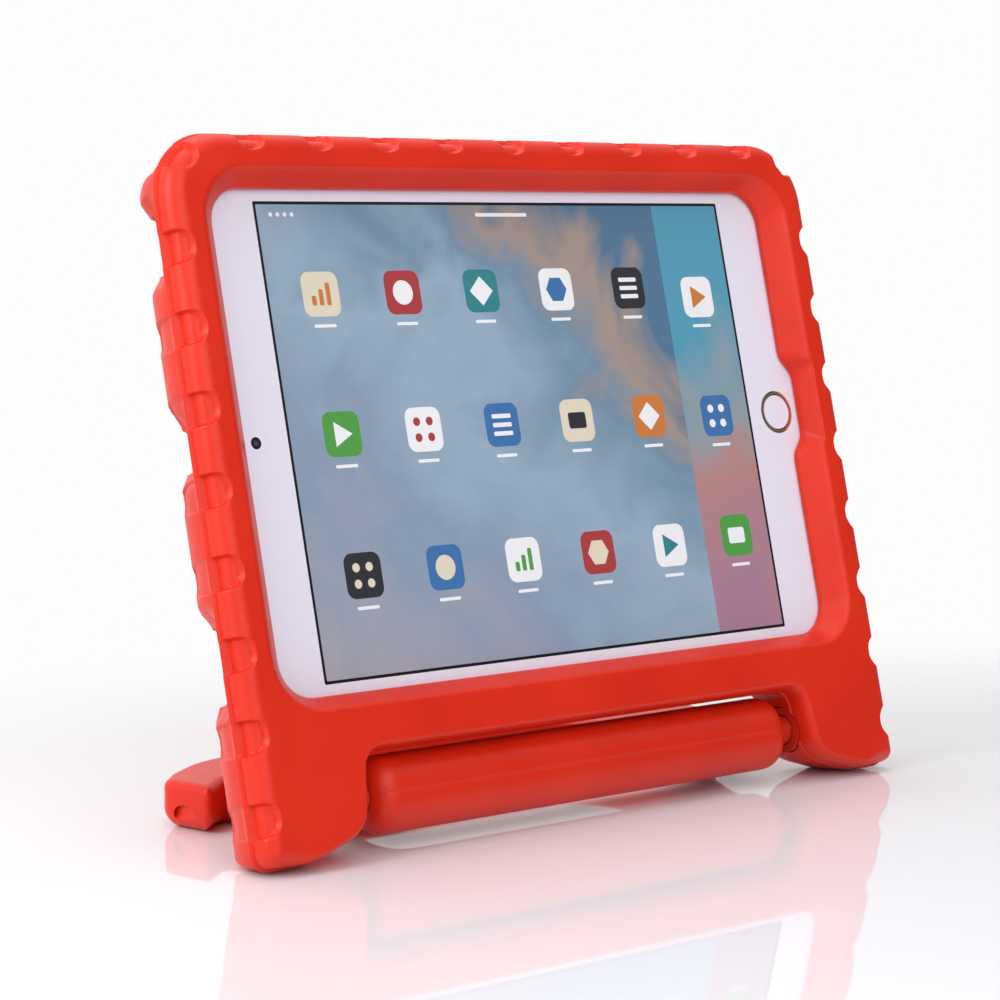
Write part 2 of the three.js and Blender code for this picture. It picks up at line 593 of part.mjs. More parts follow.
function tabletBackShell() {
  const round = quarterRound(TABLET_BACK_ROUNDING).toReversed();
  const outside = loftSolid([
    ...round.map(({ inset, drop }) => ({
      outline: tabletOutline(inset),
      heightAt: () => -TABLET_THICKNESS + drop,
    })),
    { outline: tabletOutline(0), heightAt: () => SHELL_TOP_Z },
  ]);
  const inside = prismSolid(tabletOutline(SHELL_WALL), INSIDE_FLOOR_Z, CUT_PAST);
  const buttonSlots = edgeButtons.map(({ x, y, side, length }) => (
    edgeButtonSolid(x, y, side, length, SEAT_GAP, CUT_PAST, SHELL_WALL + CUT_PAST)));
  const portSlot = boxSolid(
    new THREE.Vector3(PANEL_HALF_X - SHELL_WALL - CUT_PAST, -PORT_WIDTH / 2, EDGE_MIDDLE_Z - PORT_HEIGHT / 2),
    new THREE.Vector3(PANEL_HALF_X + CUT_PAST, PORT_WIDTH / 2, EDGE_MIDDLE_Z + PORT_HEIGHT / 2),
  );
  const jackHole = rodAlongX(
    JACK_BORE / 2, -PANEL_HALF_X - CUT_PAST, -PANEL_HALF_X + SHELL_WALL + CUT_PAST, JACK_Y, EDGE_MIDDLE_Z,
    SMALL_ROUND_SIDES,
  );
  const cameraHole = rodAlongZ(
    REAR_CAMERA_DIAMETER / 2 + SEAT_GAP, REAR_CAMERA_X, REAR_CAMERA_Y,
    -TABLET_THICKNESS - CUT_PAST, INSIDE_FLOOR_Z + CUT_PAST,
  );
  return outside.subtract(wasm.Manifold.union([inside, ...buttonSlots, portSlot, jackHole, cameraHole]));
}

const homeRingInner = HOME_BUTTON_DIAMETER / 2 + SEAT_GAP;
const homeRingOuter = homeRingInner + HOME_RING_WIDTH;

function coverGlassSheet() {
  const sheet = prismSolid(tabletOutline(0), -GLASS_THICKNESS, 0);
  return sheet.subtract(
    rodAlongZ(homeRingOuter + SEAT_GAP, HOME_BUTTON_X, 0, -GLASS_THICKNESS - CUT_PAST, CUT_PAST),
  );
}

function homeButtonRing() {
  const z = [-GLASS_THICKNESS, HOME_RING_PROUD];
  return rodAlongZ(homeRingOuter, HOME_BUTTON_X, 0, ...z)
    .subtract(rodAlongZ(homeRingInner, HOME_BUTTON_X, 0, z[0] - CUT_PAST, z[1] + CUT_PAST));
}

function slab(lowX, lowY, highX, highY, lowZ, highZ) {
  return boxSolid(new THREE.Vector3(lowX, lowY, lowZ), new THREE.Vector3(highX, highY, highZ));
}

function chargingPort() {
  const outerX = PANEL_HALF_X - SEAT_GAP;
  const [halfY, halfZ] = [PORT_WIDTH / 2 - SEAT_GAP, PORT_HEIGHT / 2 - SEAT_GAP];
  const [lowZ, highZ] = [EDGE_MIDDLE_Z - halfZ, EDGE_MIDDLE_Z + halfZ];
  const body = slab(outerX - PORT_DEPTH, -halfY, outerX, halfY, lowZ, highZ);
  const mouth = slab(
    outerX - PORT_DEPTH + PORT_WALL, -halfY + PORT_WALL, outerX + CUT_PAST, halfY - PORT_WALL,
    lowZ + PORT_WALL, highZ - PORT_WALL,
  );
  return body.subtract(mouth);
}

function headphoneJack() {
  const startX = -PANEL_HALF_X + SHELL_WALL + SEAT_GAP;
  const body = slab(
    startX, JACK_Y - JACK_WIDTH / 2, startX + JACK_LENGTH, JACK_Y + JACK_WIDTH / 2,
    LOWEST_INSIDE_Z, SHELL_TOP_Z,
  );
  const bore = rodAlongX(
    JACK_BORE / 2, startX - CUT_PAST, startX + JACK_LENGTH - CUT_PAST, JACK_Y, EDGE_MIDDLE_Z,
    SMALL_ROUND_SIDES,
  );
  return body.subtract(bore);
}

function addTablet() {
  const displayHalfX = PANEL_HALF_X - DISPLAY_SIDE_BORDER;
  const displayHalfY = PANEL_HALF_Y - DISPLAY_END_BORDER;
  const displayBottomZ = SHELL_TOP_Z - DISPLAY_THICKNESS;
  const cellTopZ = displayBottomZ - SEAT_GAP;
  const homeButtonBottomZ = -HOME_BUTTON_THICKNESS;
  const insideX = PANEL_HALF_X - SHELL_WALL - SEAT_GAP;
  const insideY = PANEL_HALF_Y - SHELL_WALL - SEAT_GAP;
  const boardBottomY = insideY - CELL_MARGIN - BOARD_HEIGHT;

  addPiece(leaning, 'tablet_back_shell', tabletBackShell(), aluminium);
  addPiece(leaning, 'cover_glass', coverGlassSheet(), coverGlass);
  addPiece(leaning, 'display_panel', slab(
    -displayHalfX, -displayHalfY, displayHalfX, displayHalfY, displayBottomZ, SHELL_TOP_Z,
  ), litDisplay);
  addPiece(leaning, 'home_button_ring', homeButtonRing(), goldRing);
  addPiece(leaning, 'home_button', rodAlongZ(
    HOME_BUTTON_DIAMETER / 2, HOME_BUTTON_X, 0, homeButtonBottomZ, 0,
  ), whitePlastic);
  addPiece(leaning, 'home_button_switch', slab(
    HOME_BUTTON_X - HOME_SWITCH_SIZE / 2,
    -HOME_SWITCH_SIZE / 2,
    HOME_BUTTON_X + HOME_SWITCH_SIZE / 2,
    HOME_SWITCH_SIZE / 2,
    LOWEST_INSIDE_Z,
    homeButtonBottomZ - HOME_BUTTON_TRAVEL - PRESS_GAP,
  ), darkPlastic);
  edgeButtons.forEach(({ name, x, y, side, length }) => addPiece(
    leaning,
    name,
    edgeButtonSolid(x, y, side, length, 0, EDGE_BUTTON_PROUD, EDGE_BUTTON_DEPTH - EDGE_BUTTON_PROUD),
    aluminium,
  ));
  addPiece(leaning, 'front_camera', rodAlongZ(
    FRONT_CAMERA_DIAMETER / 2, FRONT_CAMERA_X, 0, LOWEST_INSIDE_Z, SHELL_TOP_Z, SMALL_ROUND_SIDES,
  ), darkPlastic);
  addPiece(leaning, 'rear_camera_lens', rodAlongZ(
    REAR_CAMERA_DIAMETER / 2, REAR_CAMERA_X, REAR_CAMERA_Y,
    -TABLET_THICKNESS, -TABLET_THICKNESS + REAR_LENS_THICKNESS,
  ), blackGlass);
  addPiece(leaning, 'rear_camera', rodAlongZ(
    REAR_CAMERA_DIAMETER / 2, REAR_CAMERA_X, REAR_CAMERA_Y,
    -TABLET_THICKNESS + REAR_LENS_THICKNESS + SEAT_GAP, SHELL_TOP_Z, SMALL_ROUND_SIDES,
  ), darkPlastic);
  [-1, 1].forEach((side) => {
    const ends = [side * (CELL_MARGIN / 2), side * (insideX - BATTERY_FROM_SIDE)];
    const [lowX, highX] = ends.sort((a, b) => a - b);
    addPiece(leaning, side < 0 ? 'battery_cell_left' : 'battery_cell_right', slab(
      lowX, -insideY + CELL_MARGIN, highX, boardBottomY - BATTERY_BELOW_BOARD, LOWEST_INSIDE_Z, cellTopZ,
    ), cellFoil);
  });
  addPiece(leaning, 'main_board', slab(
    BOARD_FROM_SIDE - insideX, boardBottomY, insideX - BOARD_FROM_SIDE, insideY - CELL_MARGIN,
    LOWEST_INSIDE_Z, cellTopZ,
  ), greenBoard);
  [-1, 1].forEach((side) => addPiece(
    leaning,
    side < 0 ? 'speaker_lower' : 'speaker_upper',
    slab(
      insideX - SPEAKER_DEPTH, side * SPEAKER_Y - SPEAKER_LENGTH / 2,
      insideX, side * SPEAKER_Y + SPEAKER_LENGTH / 2, LOWEST_INSIDE_Z, SHELL_TOP_Z,
    ),
    darkPlastic,
  ));
  addPiece(leaning, 'charging_port', chargingPort(), aluminium);
  addPiece(leaning, 'headphone_jack', headphoneJack(), darkPlastic);
}

addTablet();

// Handle, drawn about its pivot: x along the bar, y back, z up
const handleGroup = new THREE.Group();
handleGroup.position.set(0, PIVOT_BACK, PIVOT_HEIGHT);
model.add(handleGroup);

// The bar's section is square to the case. It is lofted along x, with rounded ends.
function handleBar() {
  const [halfDepth, halfHeight] = [BAR_DEPTH / 2, BAR_HEIGHT / 2];
  const corners = rectangleCorners(-halfDepth, -halfHeight, halfDepth, halfHeight, BAR_ROUNDING);
  const round = quarterRound(BAR_END_ROUNDING);
  const ring = ({ inset, drop }, side) => ({
    outline: roundedOutline(corners, inset),
    heightAt: () => side * (BAR_HALF_LENGTH - drop),
  });
  const solid = loftSolid([
    ...round.toReversed().map((step) => ring(step, -1)),
    ...round.map((step) => ring(step, 1)),
  ]);
  const alongX = new THREE.Matrix4().makeBasis(
    new THREE.Vector3(0, 1, 0), new THREE.Vector3(0, 0, 1), new THREE.Vector3(1, 0, 0),
  );
  return solidOf(geometryOf(solid).applyMatrix4(alongX).rotateX(-LEAN));
}

// Plan of the arms and the wide grip, whose ends hook forwards
function gripCorners() {
  const right = [
    [BAR_HALF_LENGTH - BAR_END_ROUNDING, -BAR_DEPTH / 4, ARM_ROOT_RADIUS],
    [WAIST_HALF_WIDTH - ARM_BEND, WAIST_BACK / 2, ARM_BEND_RADIUS],
    [WAIST_HALF_WIDTH, WAIST_BACK, WING_FRONT_RADIUS],
    [WING_FRONT_HALF_WIDTH, WING_FRONT, WING_FRONT_RADIUS],
    [GRIP_HALF_WIDTH, WING_BACK - WING_CORNER, WING_SIDE_RADIUS],
    [GRIP_HALF_WIDTH - WING_CORNER, WING_BACK, WING_CORNER],
    ...GRIP_BOW_BENDS.map(([across, bow, radius]) => (
      [GRIP_HALF_WIDTH * across, WING_BACK + GRIP_BOW * bow, radius])),
  ];
  return [...right, ...right.map(([x, y, r]) => [-x, y, r]).reverse()];
}

function openingCorners() {
  const innerX = BAR_HALF_LENGTH - ARM_WIDTH;
  const backY = WING_BACK + GRIP_BOW - GRIP_DEPTH;
  return rectangleCorners(-innerX, BAR_DEPTH / 2 + OPENING_WEB, innerX, backY, OPENING_RADIUS);
}

// Splits the long runs of an outline as the reference is split, so that its surface can bend along them
function withShortRuns(outline, reference) {
  return outline.flatMap((p, i) => {
    const j = (i + 1) % outline.length;
    const pieces = Math.max(1, Math.ceil(Math.abs(reference[j].y - reference[i].y) / ARM_RUN));
    return Array.from({ length: pieces }, (_, k) => p.clone().lerp(outline[j], k / pieces));
  });
}

// The arms come down from the bar and thin out to the grip, which lies level on the table
function gripAndArms() {
  const levelShare = (y) => THREE.MathUtils.smoothstep(y, BAR_DEPTH / 2, ARM_LEVEL_FROM);
  const undersideAt = (y) => ARM_ROOT_LIFT * (1 - levelShare(y)) - PIVOT_HEIGHT;
  const thicknessAt = (y) => THREE.MathUtils.lerp(ARM_ROOT_THICKNESS, GRIP_THICKNESS, levelShare(y));
  const topAt = (y) => undersideAt(y) + thicknessAt(y);
  const plan = roundedOutline(gripCorners());
  const opening = roundedOutline(openingCorners());
  const ring = (inset, heightAt) => ({
    outline: withShortRuns(roundedOutline(gripCorners(), inset), plan),
    hole: withShortRuns(roundedOutline(openingCorners(), -inset), opening),
    heightAt,
  });
  return loftSolid([
    ...quarterRound(HANDLE_UNDER_ROUNDING).toReversed()
      .map(({ inset, drop }) => ring(inset, (p) => undersideAt(p.y) + drop)),
    ...quarterRound(HANDLE_TOP_ROUNDING).map(({ inset, drop }) => ring(inset, (p) => topAt(p.y) - drop)),
  ]);
}

// A shallow oval thumb mark in each end of the grip
function dimples() {
  const y = WING_FRONT + DIMPLE_BACK;
  const share = DIMPLE_BACK / (WING_BACK - WING_CORNER - WING_FRONT);
  const faceX = THREE.MathUtils.lerp(WING_FRONT_HALF_WIDTH, GRIP_HALF_WIDTH, share);
  return [-1, 1].map((side) => {
    const oval = new THREE.SphereGeometry(1, SMALL_ROUND_SIDES, SMALL_ROUND_SIDES / 2);
    oval.scale(DIMPLE_DEPTH, DIMPLE_LENGTH / 2, DIMPLE_HEIGHT / 2);
    return solidOf(oval.translate(side * faceX, y, HANDLE_UNDER_ROUNDING - PIVOT_HEIGHT));
  });
}

function handle() {
  const pinBores = [-1, 1].map((side) => {
    const ends = [side * (BAR_HALF_LENGTH - PIN_IN_BAR - SEAT_GAP), side * (BAR_HALF_LENGTH + CUT_PAST)];
    return rodAlongX(PIN_DIAMETER / 2 + SEAT_GAP, ...ends.sort((a, b) => a - b), 0, 0);
  });
  return handleBar().add(gripAndArms()).subtract(wasm.Manifold.union([...pinBores, ...dimples()]));
}

addPiece(handleGroup, 'handle', handle(), redFoam);

// Hinge: a pin fast in each end of the bar turns in a bush in the foot
[-1, 1].forEach((side) => {
  const name = side < 0 ? 'left' : 'right';
  const span = (a, b) => [side * a, side * b].sort((p, q) => p - q);
  const pinSpan = span(BAR_HALF_LENGTH - PIN_IN_BAR, RECESS_HALF_X + PIN_IN_FOOT);
  const pin = rodAlongX(PIN_DIAMETER / 2, ...pinSpan, 0, 0);
  addPiece(handleGroup, `pivot_pin_${name}`, pin, redPlastic);

  const boreSpan = span(BUSH_START - CUT_PAST, BUSH_END + CUT_PAST);
  const bore = rodAlongX(PIN_DIAMETER / 2 + SEAT_GAP, ...boreSpan, PIVOT_Y, PIVOT_Z);
  const bush = rodAlongX(BUSH_RADIUS, ...span(BUSH_START, BUSH_END), PIVOT_Y, PIVOT_Z).subtract(bore);
  addPiece(leaning, `pivot_bush_${name}`, bush, redPlastic);
});

// The origin is under the middle of the whole thing, on the table
model.updateMatrixWorld(true);
const extent = new THREE.Box3().setFromObject(model, true);
model.position.set(
  -(extent.min.x + extent.max.x) / 2,
  -(extent.min.y + extent.max.y) / 2,
  -extent.min.z,
);

export default model;
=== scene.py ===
"""Looks of a children's foam tablet case that stands on its own swinging handle, with the tablet in it.

Shapes are worked out in millimetres in the case's own frame: x along the screen, y up the screen and z out
of the glass, with 0, 0, 0 at the middle of the screen on the glass. The handle is worked out about its
pivot: x along the bar, y back and z up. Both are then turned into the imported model's frame, in metres.
"""

import json
import math

import bmesh
import bpy
from mathutils import Matrix, Vector
from mathutils.geometry import delaunay_2d_cdt

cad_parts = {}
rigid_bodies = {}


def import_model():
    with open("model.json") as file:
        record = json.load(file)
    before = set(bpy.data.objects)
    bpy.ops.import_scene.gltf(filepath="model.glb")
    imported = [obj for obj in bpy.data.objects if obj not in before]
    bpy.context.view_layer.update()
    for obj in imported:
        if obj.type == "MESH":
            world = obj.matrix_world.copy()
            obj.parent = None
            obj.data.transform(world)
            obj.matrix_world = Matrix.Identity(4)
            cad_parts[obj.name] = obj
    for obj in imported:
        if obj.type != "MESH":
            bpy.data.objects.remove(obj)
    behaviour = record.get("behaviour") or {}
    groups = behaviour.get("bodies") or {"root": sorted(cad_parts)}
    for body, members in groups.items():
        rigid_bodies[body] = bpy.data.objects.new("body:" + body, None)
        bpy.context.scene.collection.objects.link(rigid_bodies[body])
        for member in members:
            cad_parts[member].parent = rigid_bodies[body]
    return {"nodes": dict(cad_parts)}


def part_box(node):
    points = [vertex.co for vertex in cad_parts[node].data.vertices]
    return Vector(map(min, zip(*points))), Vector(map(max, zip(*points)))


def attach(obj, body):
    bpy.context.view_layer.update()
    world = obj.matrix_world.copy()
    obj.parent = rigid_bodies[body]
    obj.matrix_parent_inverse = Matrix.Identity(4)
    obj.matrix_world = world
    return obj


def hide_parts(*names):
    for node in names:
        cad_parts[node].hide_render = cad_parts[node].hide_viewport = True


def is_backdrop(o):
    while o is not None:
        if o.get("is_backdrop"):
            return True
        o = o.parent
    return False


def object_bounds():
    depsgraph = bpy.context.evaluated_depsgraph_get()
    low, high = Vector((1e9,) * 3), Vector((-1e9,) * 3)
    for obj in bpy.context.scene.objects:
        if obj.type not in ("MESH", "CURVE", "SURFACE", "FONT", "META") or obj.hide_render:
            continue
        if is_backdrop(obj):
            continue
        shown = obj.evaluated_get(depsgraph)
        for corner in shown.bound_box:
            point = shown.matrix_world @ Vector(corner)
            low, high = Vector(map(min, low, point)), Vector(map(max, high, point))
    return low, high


bl_info = {
    "name": "Kids tablet case",
    "version": (1, 0, 0),
    "blender": (4, 5, 0),
    "location": "View3D > Sidebar > Tablet Case",
    "description": "Builds a foam tablet case with its handle, its tablet and a pale stage",
    "category": "Object",
}

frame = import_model()
CAD_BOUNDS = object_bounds()

MM = 0.001
LEAN = math.radians(13.8)
CASE_UP = Vector((0, math.sin(LEAN), math.cos(LEAN)))
GLASS_OUT = Vector((0, -math.cos(LEAN), math.sin(LEAN)))
DISPLAY_MIDDLE_DEPTH = 1.7
PANEL_HALF_X = 101.6
PANEL_HALF_Y = 67.4
PANEL_CORNER = 8.8
GLASS_THICKNESS = 0.7
SEAT_GAP = 0.3

CASE_HALF_WIDTH = 111.0
CASE_TOP_Y = 78.0
CASE_TOP_RADIUS = 18
FOOT_BOTTOM_Y = -103.7
FOOT_RADIUS = 4.0
CASE_FACE_Z = 7.5
CASE_BACK_Z = -14.5
SOLE_WIDTH = 15
SOLE_BLEND_RADIUS = 30
FOOT_DRAFT = 2.6
FOOT_INNER_RISE = 5.5
FOOT_INNER_RADIUS = 10
RECESS_HALF_X = 75.9
RECESS_ABOVE_PIVOT = 10.6
RECESS_RADIUS = 4.5
PIVOT_Y = -89.5
PIVOT_Z = -4.5
PIN_HOLE_RADIUS = 4.3
BUSH_HOLE_RADIUS = 6.6
WINDOW_HALF_X = 95.5
WINDOW_HALF_Y = 63.8
WINDOW_RADIUS = 9.5
WINDOW_SLOPE = (5.5, 3.5, 4.2, 2.2)
HOME_BULGE_Y = 1.5
HOME_BULGE_REACH = 4.1
HOME_BULGE_HALF = 9
HOME_BULGE_FLARE = 5
LIP_TOP_Z = 2.0
POCKET_BACK_Z = -6.4
SIDE_GROOVES = (8, 29.7, 19.97)
TOP_GROOVES = (9, 27.3, 21.4)
GROOVE_NEAR = 14
RIDGE_Z = 0.5
NOTCH_DIP = 4.5
HOME_BUTTON_X = 91.8
HOME_HOLE_RADIUS = 6.1
HANDLE_BAR_HALF = 72.3
HANDLE_END_ROUNDING = 6.0
BAR_HALF_DEPTH = 9
BAR_HALF_HEIGHT = 10
BAR_ROUNDING = 8.5
ARM_WIDTH = 20.5
ARM_LIFT = 3.8
ARM_THICKNESS = 16.4
WAIST_PAST_BAR = 6
WING_FRONT_Y = 38.0
WING_FRONT_PAST_BAR = 18.5
WING_FRONT_RADIUS = 1.5
WING_BACK_Y = 62
GRIP_PAST_BAR = 21.5
GRIP_THICKNESS = 12.6
GRIP_UNDER_ROUNDING = 5.2
GRIP_TOP_ROUNDING = 2.4
FINGER_OPENING_FRONT_Y = 12
FINGER_OPENING_BACK_Y = 54
FINGER_OPENING_RADIUS = 12
THUMB_MARK_REACH = (6.2, 2.1, 0.8)
PIN_HOLE_DEPTH = 14.3
BUSH_HOLE_DEPTH = 17.6
WALL_CUTOUTS = (
    (-1, 52.0, 15.0), (-1, 0.5, 11.0), (-1, -53.0, 19.0), (1, 0.0, 18.0), (1, 28.0, 16.0), (1, -28.0, 16.0),
)
POWER_CUTOUT_X = (-85, -60)
REAR_CAMERA_PLACE = (-91.5, 55)
PICTURE_HALF_X = 80.25
PICTURE_HALF_Y = 60.2
BORDER_HALF_X = 81.05
BORDER_HALF_Y = 61
DOCK_FROM_X = 55.5
FRONT_CAMERA_X = -90.8
RECESS_EDGE_SHARE = 0.4


def box_middle(node):
    low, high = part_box(node)
    return (Vector(low) + Vector(high)) / 2


SCREEN_CENTRE = Vector((0, 0, 0)) + box_middle("display_panel") + GLASS_OUT * DISPLAY_MIDDLE_DEPTH * MM
HANDLE_PIVOT = SCREEN_CENTRE + (CASE_UP * PIVOT_Y + GLASS_OUT * PIVOT_Z) * MM


def case_point(x, y, z):
    """A point of the case's frame in the model's frame, in metres."""
    return SCREEN_CENTRE + (Vector((x, 0, 0)) + CASE_UP * y + GLASS_OUT * z) * MM


def handle_point(x, y, z):
    """A point about the handle's pivot in the model's frame, in metres."""
    return HANDLE_PIVOT + Vector((x, y, z)) * MM


# Outlines

def smooth_share(low, high, value):
    """0 up to low, 1 from high, and a soft change between them."""
    share = min(max((value - low) / (high - low), 0.0), 1.0)
    return share * share * (3 - 2 * share)


def rounded_corners(corners):
    """Yields (centre, radius, first angle, turn) for each corner [x, y, radius] of a closed outline."""
    count = len(corners)
    for i, (x, y, radius) in enumerate(corners):
        before = (Vector((x, y)) - Vector(corners[i - 1][:2])).normalized()
        after = (Vector(corners[(i + 1) % count][:2]) - Vector((x, y))).normalized()
        turn = math.atan2(before.x * after.y - before.y * after.x, before.dot(after))
        side = math.copysign(1, turn)
        back = radius * math.tan(abs(turn) / 2)
        centre = Vector((x, y)) - before * back + Vector((-before.y, before.x)) * side * radius
        yield centre, radius * side, math.atan2(-before.x * side, before.y * side), turn


def inset_corners(corners, inset):
    """The corners [x, y, radius] of the outline that lies inset inside a closed one."""
    count = len(corners)
    places = [Vector((x, y)) for x, y, _ in corners]
    moved = []
    for i, (_, _, radius) in enumerate(corners):
        before = (places[i] - places[i - 1]).normalized()
        after = (places[(i + 1) % count] - places[i]).normalized()
        turn = before.x * after.y - before.y * after.x
        inward = Vector((-before.y - after.y, before.x + after.x)).normalized()
        place = places[i] + inward * inset / (inward.x * -before.y + inward.y * before.x)
        moved.append([place.x, place.y, max(radius - math.copysign(inset, turn), 0.2)])
    return moved


def stepped_outline(corners, arc_steps, line_steps, inset=0.0):
    """Points round corners [x, y, radius], as many at every inset, counterclockwise."""
    marks = []
    for i in range(len(corners)):
        marks += [(i, True, k / arc_steps) for k in range(arc_steps)]
        marks += [(i, False, k / line_steps) for k in range(line_steps)]
    return [point for point, _ in outline_points(inset_corners(corners, inset), marks)]


def outline_marks(corners, step):
    """(corner, on its arc, share of the way along) about every step round the outline."""
    marks = []
    arcs = list(rounded_corners(corners))
    for i, (centre, radius, start, turn) in enumerate(arcs):
        next_centre, next_radius, next_start, _ = arcs[(i + 1) % len(arcs)]
        end = centre + Vector((math.cos(start + turn), math.sin(start + turn))) * abs(radius)
        following = next_centre + Vector((math.cos(next_start), math.sin(next_start))) * abs(next_radius)
        for on_arc, length in ((True, abs(radius * turn)), (False, (following - end).length)):
            count = max(2, math.ceil(length / step))
            marks += [(i, on_arc, k / count) for k in range(count)]
    return marks


def outline_points(corners, marks):
    """(point, inward normal) at the marks round an outline."""
    arcs = list(rounded_corners(corners))

    def on_arc_at(i, share):
        centre, radius, start, turn = arcs[i % len(arcs)]
        direction = Vector((math.cos(start + turn * share), math.sin(start + turn * share)))
        return centre + direction * abs(radius), direction * -math.copysign(1, radius)

    rows = []
    for i, on_arc, share in marks:
        if on_arc:
            rows.append(on_arc_at(i, share))
            continue
        end, inward = on_arc_at(i, 1)
        rows.append((end.lerp(on_arc_at(i + 1, 0)[0], share), inward))
    return rows


def rectangle(low_x, low_y, high_x, high_y, radius):
    places = ((high_x, low_y), (high_x, high_y), (low_x, high_y), (low_x, low_y))
    return [[x, y, radius] for x, y in places]


def circle(x, y, radius, sides=32):
    angles = [2 * math.pi * k / sides for k in range(sides)]
    return [Vector((x + radius * math.cos(a), y + radius * math.sin(a))) for a in angles]


def quarter_round(radius, steps):
    """(inset, drop) from the side of a rounded edge to its top."""
    angles = [math.pi / 2 * k / steps for k in range(steps + 1)]
    return [(radius * (1 - math.cos(a)), radius * (1 - math.sin(a))) for a in angles]


def flat_plan(ring):
    return [Vector(p[:2]) for p in ring]


def inside(point, loop):
    """Whether a point lies inside a closed loop of points."""
    hit = False
    previous = loop[-1]
    for corner in loop:
        if (corner.y > point.y) != (previous.y > point.y):
            cross = (previous.x - corner.x) * (point.y - corner.y) / (previous.y - corner.y) + corner.x
            if point.x < cross:
                hit = not hit
        previous = corner
    return hit


def triangulated(loops):
    """Triangles that keep every loop's edges: (points, triples, and the new index of each given point)."""
    given = [Vector(p[:2]) for loop in loops for p in loop]
    edges = []
    start = 0
    for loop in loops:
        edges += [(start + i, start + (i + 1) % len(loop)) for i in range(len(loop))]
        start += len(loop)
    points, _, triangles, origins, _, _ = delaunay_2d_cdt(given, edges, [], 0, 1e-6, True)
    new_index = {old: new for new, olds in enumerate(origins) for old in olds}
    return points, triangles, new_index


def between(loop, start, end):
    """The loop's items from start round to end, with both."""
    return loop[start:end + 1] if start <= end else loop[start:] + loop[:end + 1]


class Surface:
    """Collects points and faces of one closed mesh. Loops run counterclockwise seen from +z."""

    def __init__(self, to_model):
        self.to_model = to_model
        self.points = []
        self.faces = []

    def loop(self, points):
        first = len(self.points)
        self.points += [self.to_model(*p) for p in points]
        return list(range(first, len(self.points)))

    def join(self, near, far):
        count = len(near)
        for i in range(count):
            j = (i + 1) % count
            self.faces.append((near[i], near[j], far[j], far[i]))

    def fill(self, outer, hole=None, plans=None, faces_back=False):
        """Closes a flat region in one face, or round a hole in two that meet above and below the hole.

        plans holds both loops' points, seen from +z.
        """
        sheets = [outer]
        if hole:
            outer_plan, hole_plan = plans
            cuts = []
            for up in (1, -1):
                heights = [(round(p.y * up, 2), -abs(p.x)) for p in hole_plan]
                inner = heights.index(max(heights))
                start = hole_plan[inner]
                beyond = [i for i, p in enumerate(outer_plan) if (p.y - start.y) * up > 0]
                nearest = min((outer_plan[i] - start).length for i in beyond)
                outer_end = next(i for i in beyond if (outer_plan[i] - start).length == nearest)
                cuts.append((outer_end, inner))
            sheets = []
            for (outer_from, hole_from), (outer_to, hole_to) in (cuts, reversed(cuts)):
                there = between(outer, outer_from, outer_to)
                sheets.append(there + between(hole, hole_from, hole_to)[::-1])
        for sheet in sheets:
            self.faces.append(tuple(reversed(sheet)) if faces_back else tuple(sheet))

    def stack(self, rings, closed=True):
        """Joins rings of (x, y, z) points in turn, and closes the first and last one."""
        loops = [self.loop(ring) for ring in rings]
        for near, far in zip(loops, loops[1:]):
            self.join(near, far)
        if closed:
            self.fill(loops[0], faces_back=True)
            self.fill(loops[-1])
        return loops

    def mesh(self, name):
        mesh = bpy.data.meshes.new(name)
        mesh.from_pydata(self.points, [], self.faces)
        mesh.validate()
        return mesh


def add_object(name, mesh):
    piece = bpy.data.objects.new(name, mesh)
    bpy.context.scene.collection.objects.link(piece)
    return piece


def smooth_shaded(piece, angle=32):
    mesh = piece.data
    mesh.polygons.foreach_set("use_smooth", [True] * len(mesh.polygons))
    mesh.set_sharp_from_angle(angle=math.radians(angle))
    mesh.update()
    weigh = piece.modifiers.new("weigh", "WEIGHTED_NORMAL")
    weigh.keep_sharp = True
    bpy.context.view_layer.update()
    apply_modifiers(piece)


def apply_modifiers(piece):
    """Replaces the piece's mesh by what its modifiers make of it."""
    graph = bpy.context.evaluated_depsgraph_get()
    mesh = bpy.data.meshes.new_from_object(piece.evaluated_get(graph))
    piece.modifiers.clear()
    piece.data = mesh


def combine(piece, surfaces, operation):
    """Joins closed surfaces to the piece or takes them out of it."""
    for surface in surfaces:
        other = add_object("cutter", surface.mesh("cutter"))
        step = piece.modifiers.new("combine", "BOOLEAN")
        step.operation = operation
        step.solver = "EXACT"
        step.object = other
    bpy.context.view_layer.update()
    apply_modifiers(piece)
    for other in [o for o in bpy.data.objects if o.name.startswith("cutter")]:
        bpy.data.objects.remove(other)
    sew(piece.data)


def sew(mesh, closer=2e-5):
    """Welds the specks that a cut leaves along its rim, and closes the slits between them."""
    sewn = bmesh.new()
    sewn.from_mesh(mesh)
    bmesh.ops.remove_doubles(sewn, verts=sewn.verts, dist=closer)
    bmesh.ops.dissolve_degenerate(sewn, dist=closer, edges=sewn.edges)
    bmesh.ops.holes_fill(sewn, edges=[e for e in sewn.edges if e.is_boundary], sides=12)
    sewn.to_mesh(mesh)
    sewn.free()


# Materials

def linear(hex_colour):
    """An sRGB colour such as "D4321F" as linear RGBA."""
    channels = [int(hex_colour[i:i + 2], 16) / 255 for i in (0, 2, 4)]
    return tuple(c / 12.92 if c <= 0.04045 else ((c + 0.055) / 1.055) ** 2.4 for c in channels) + (1.0,)


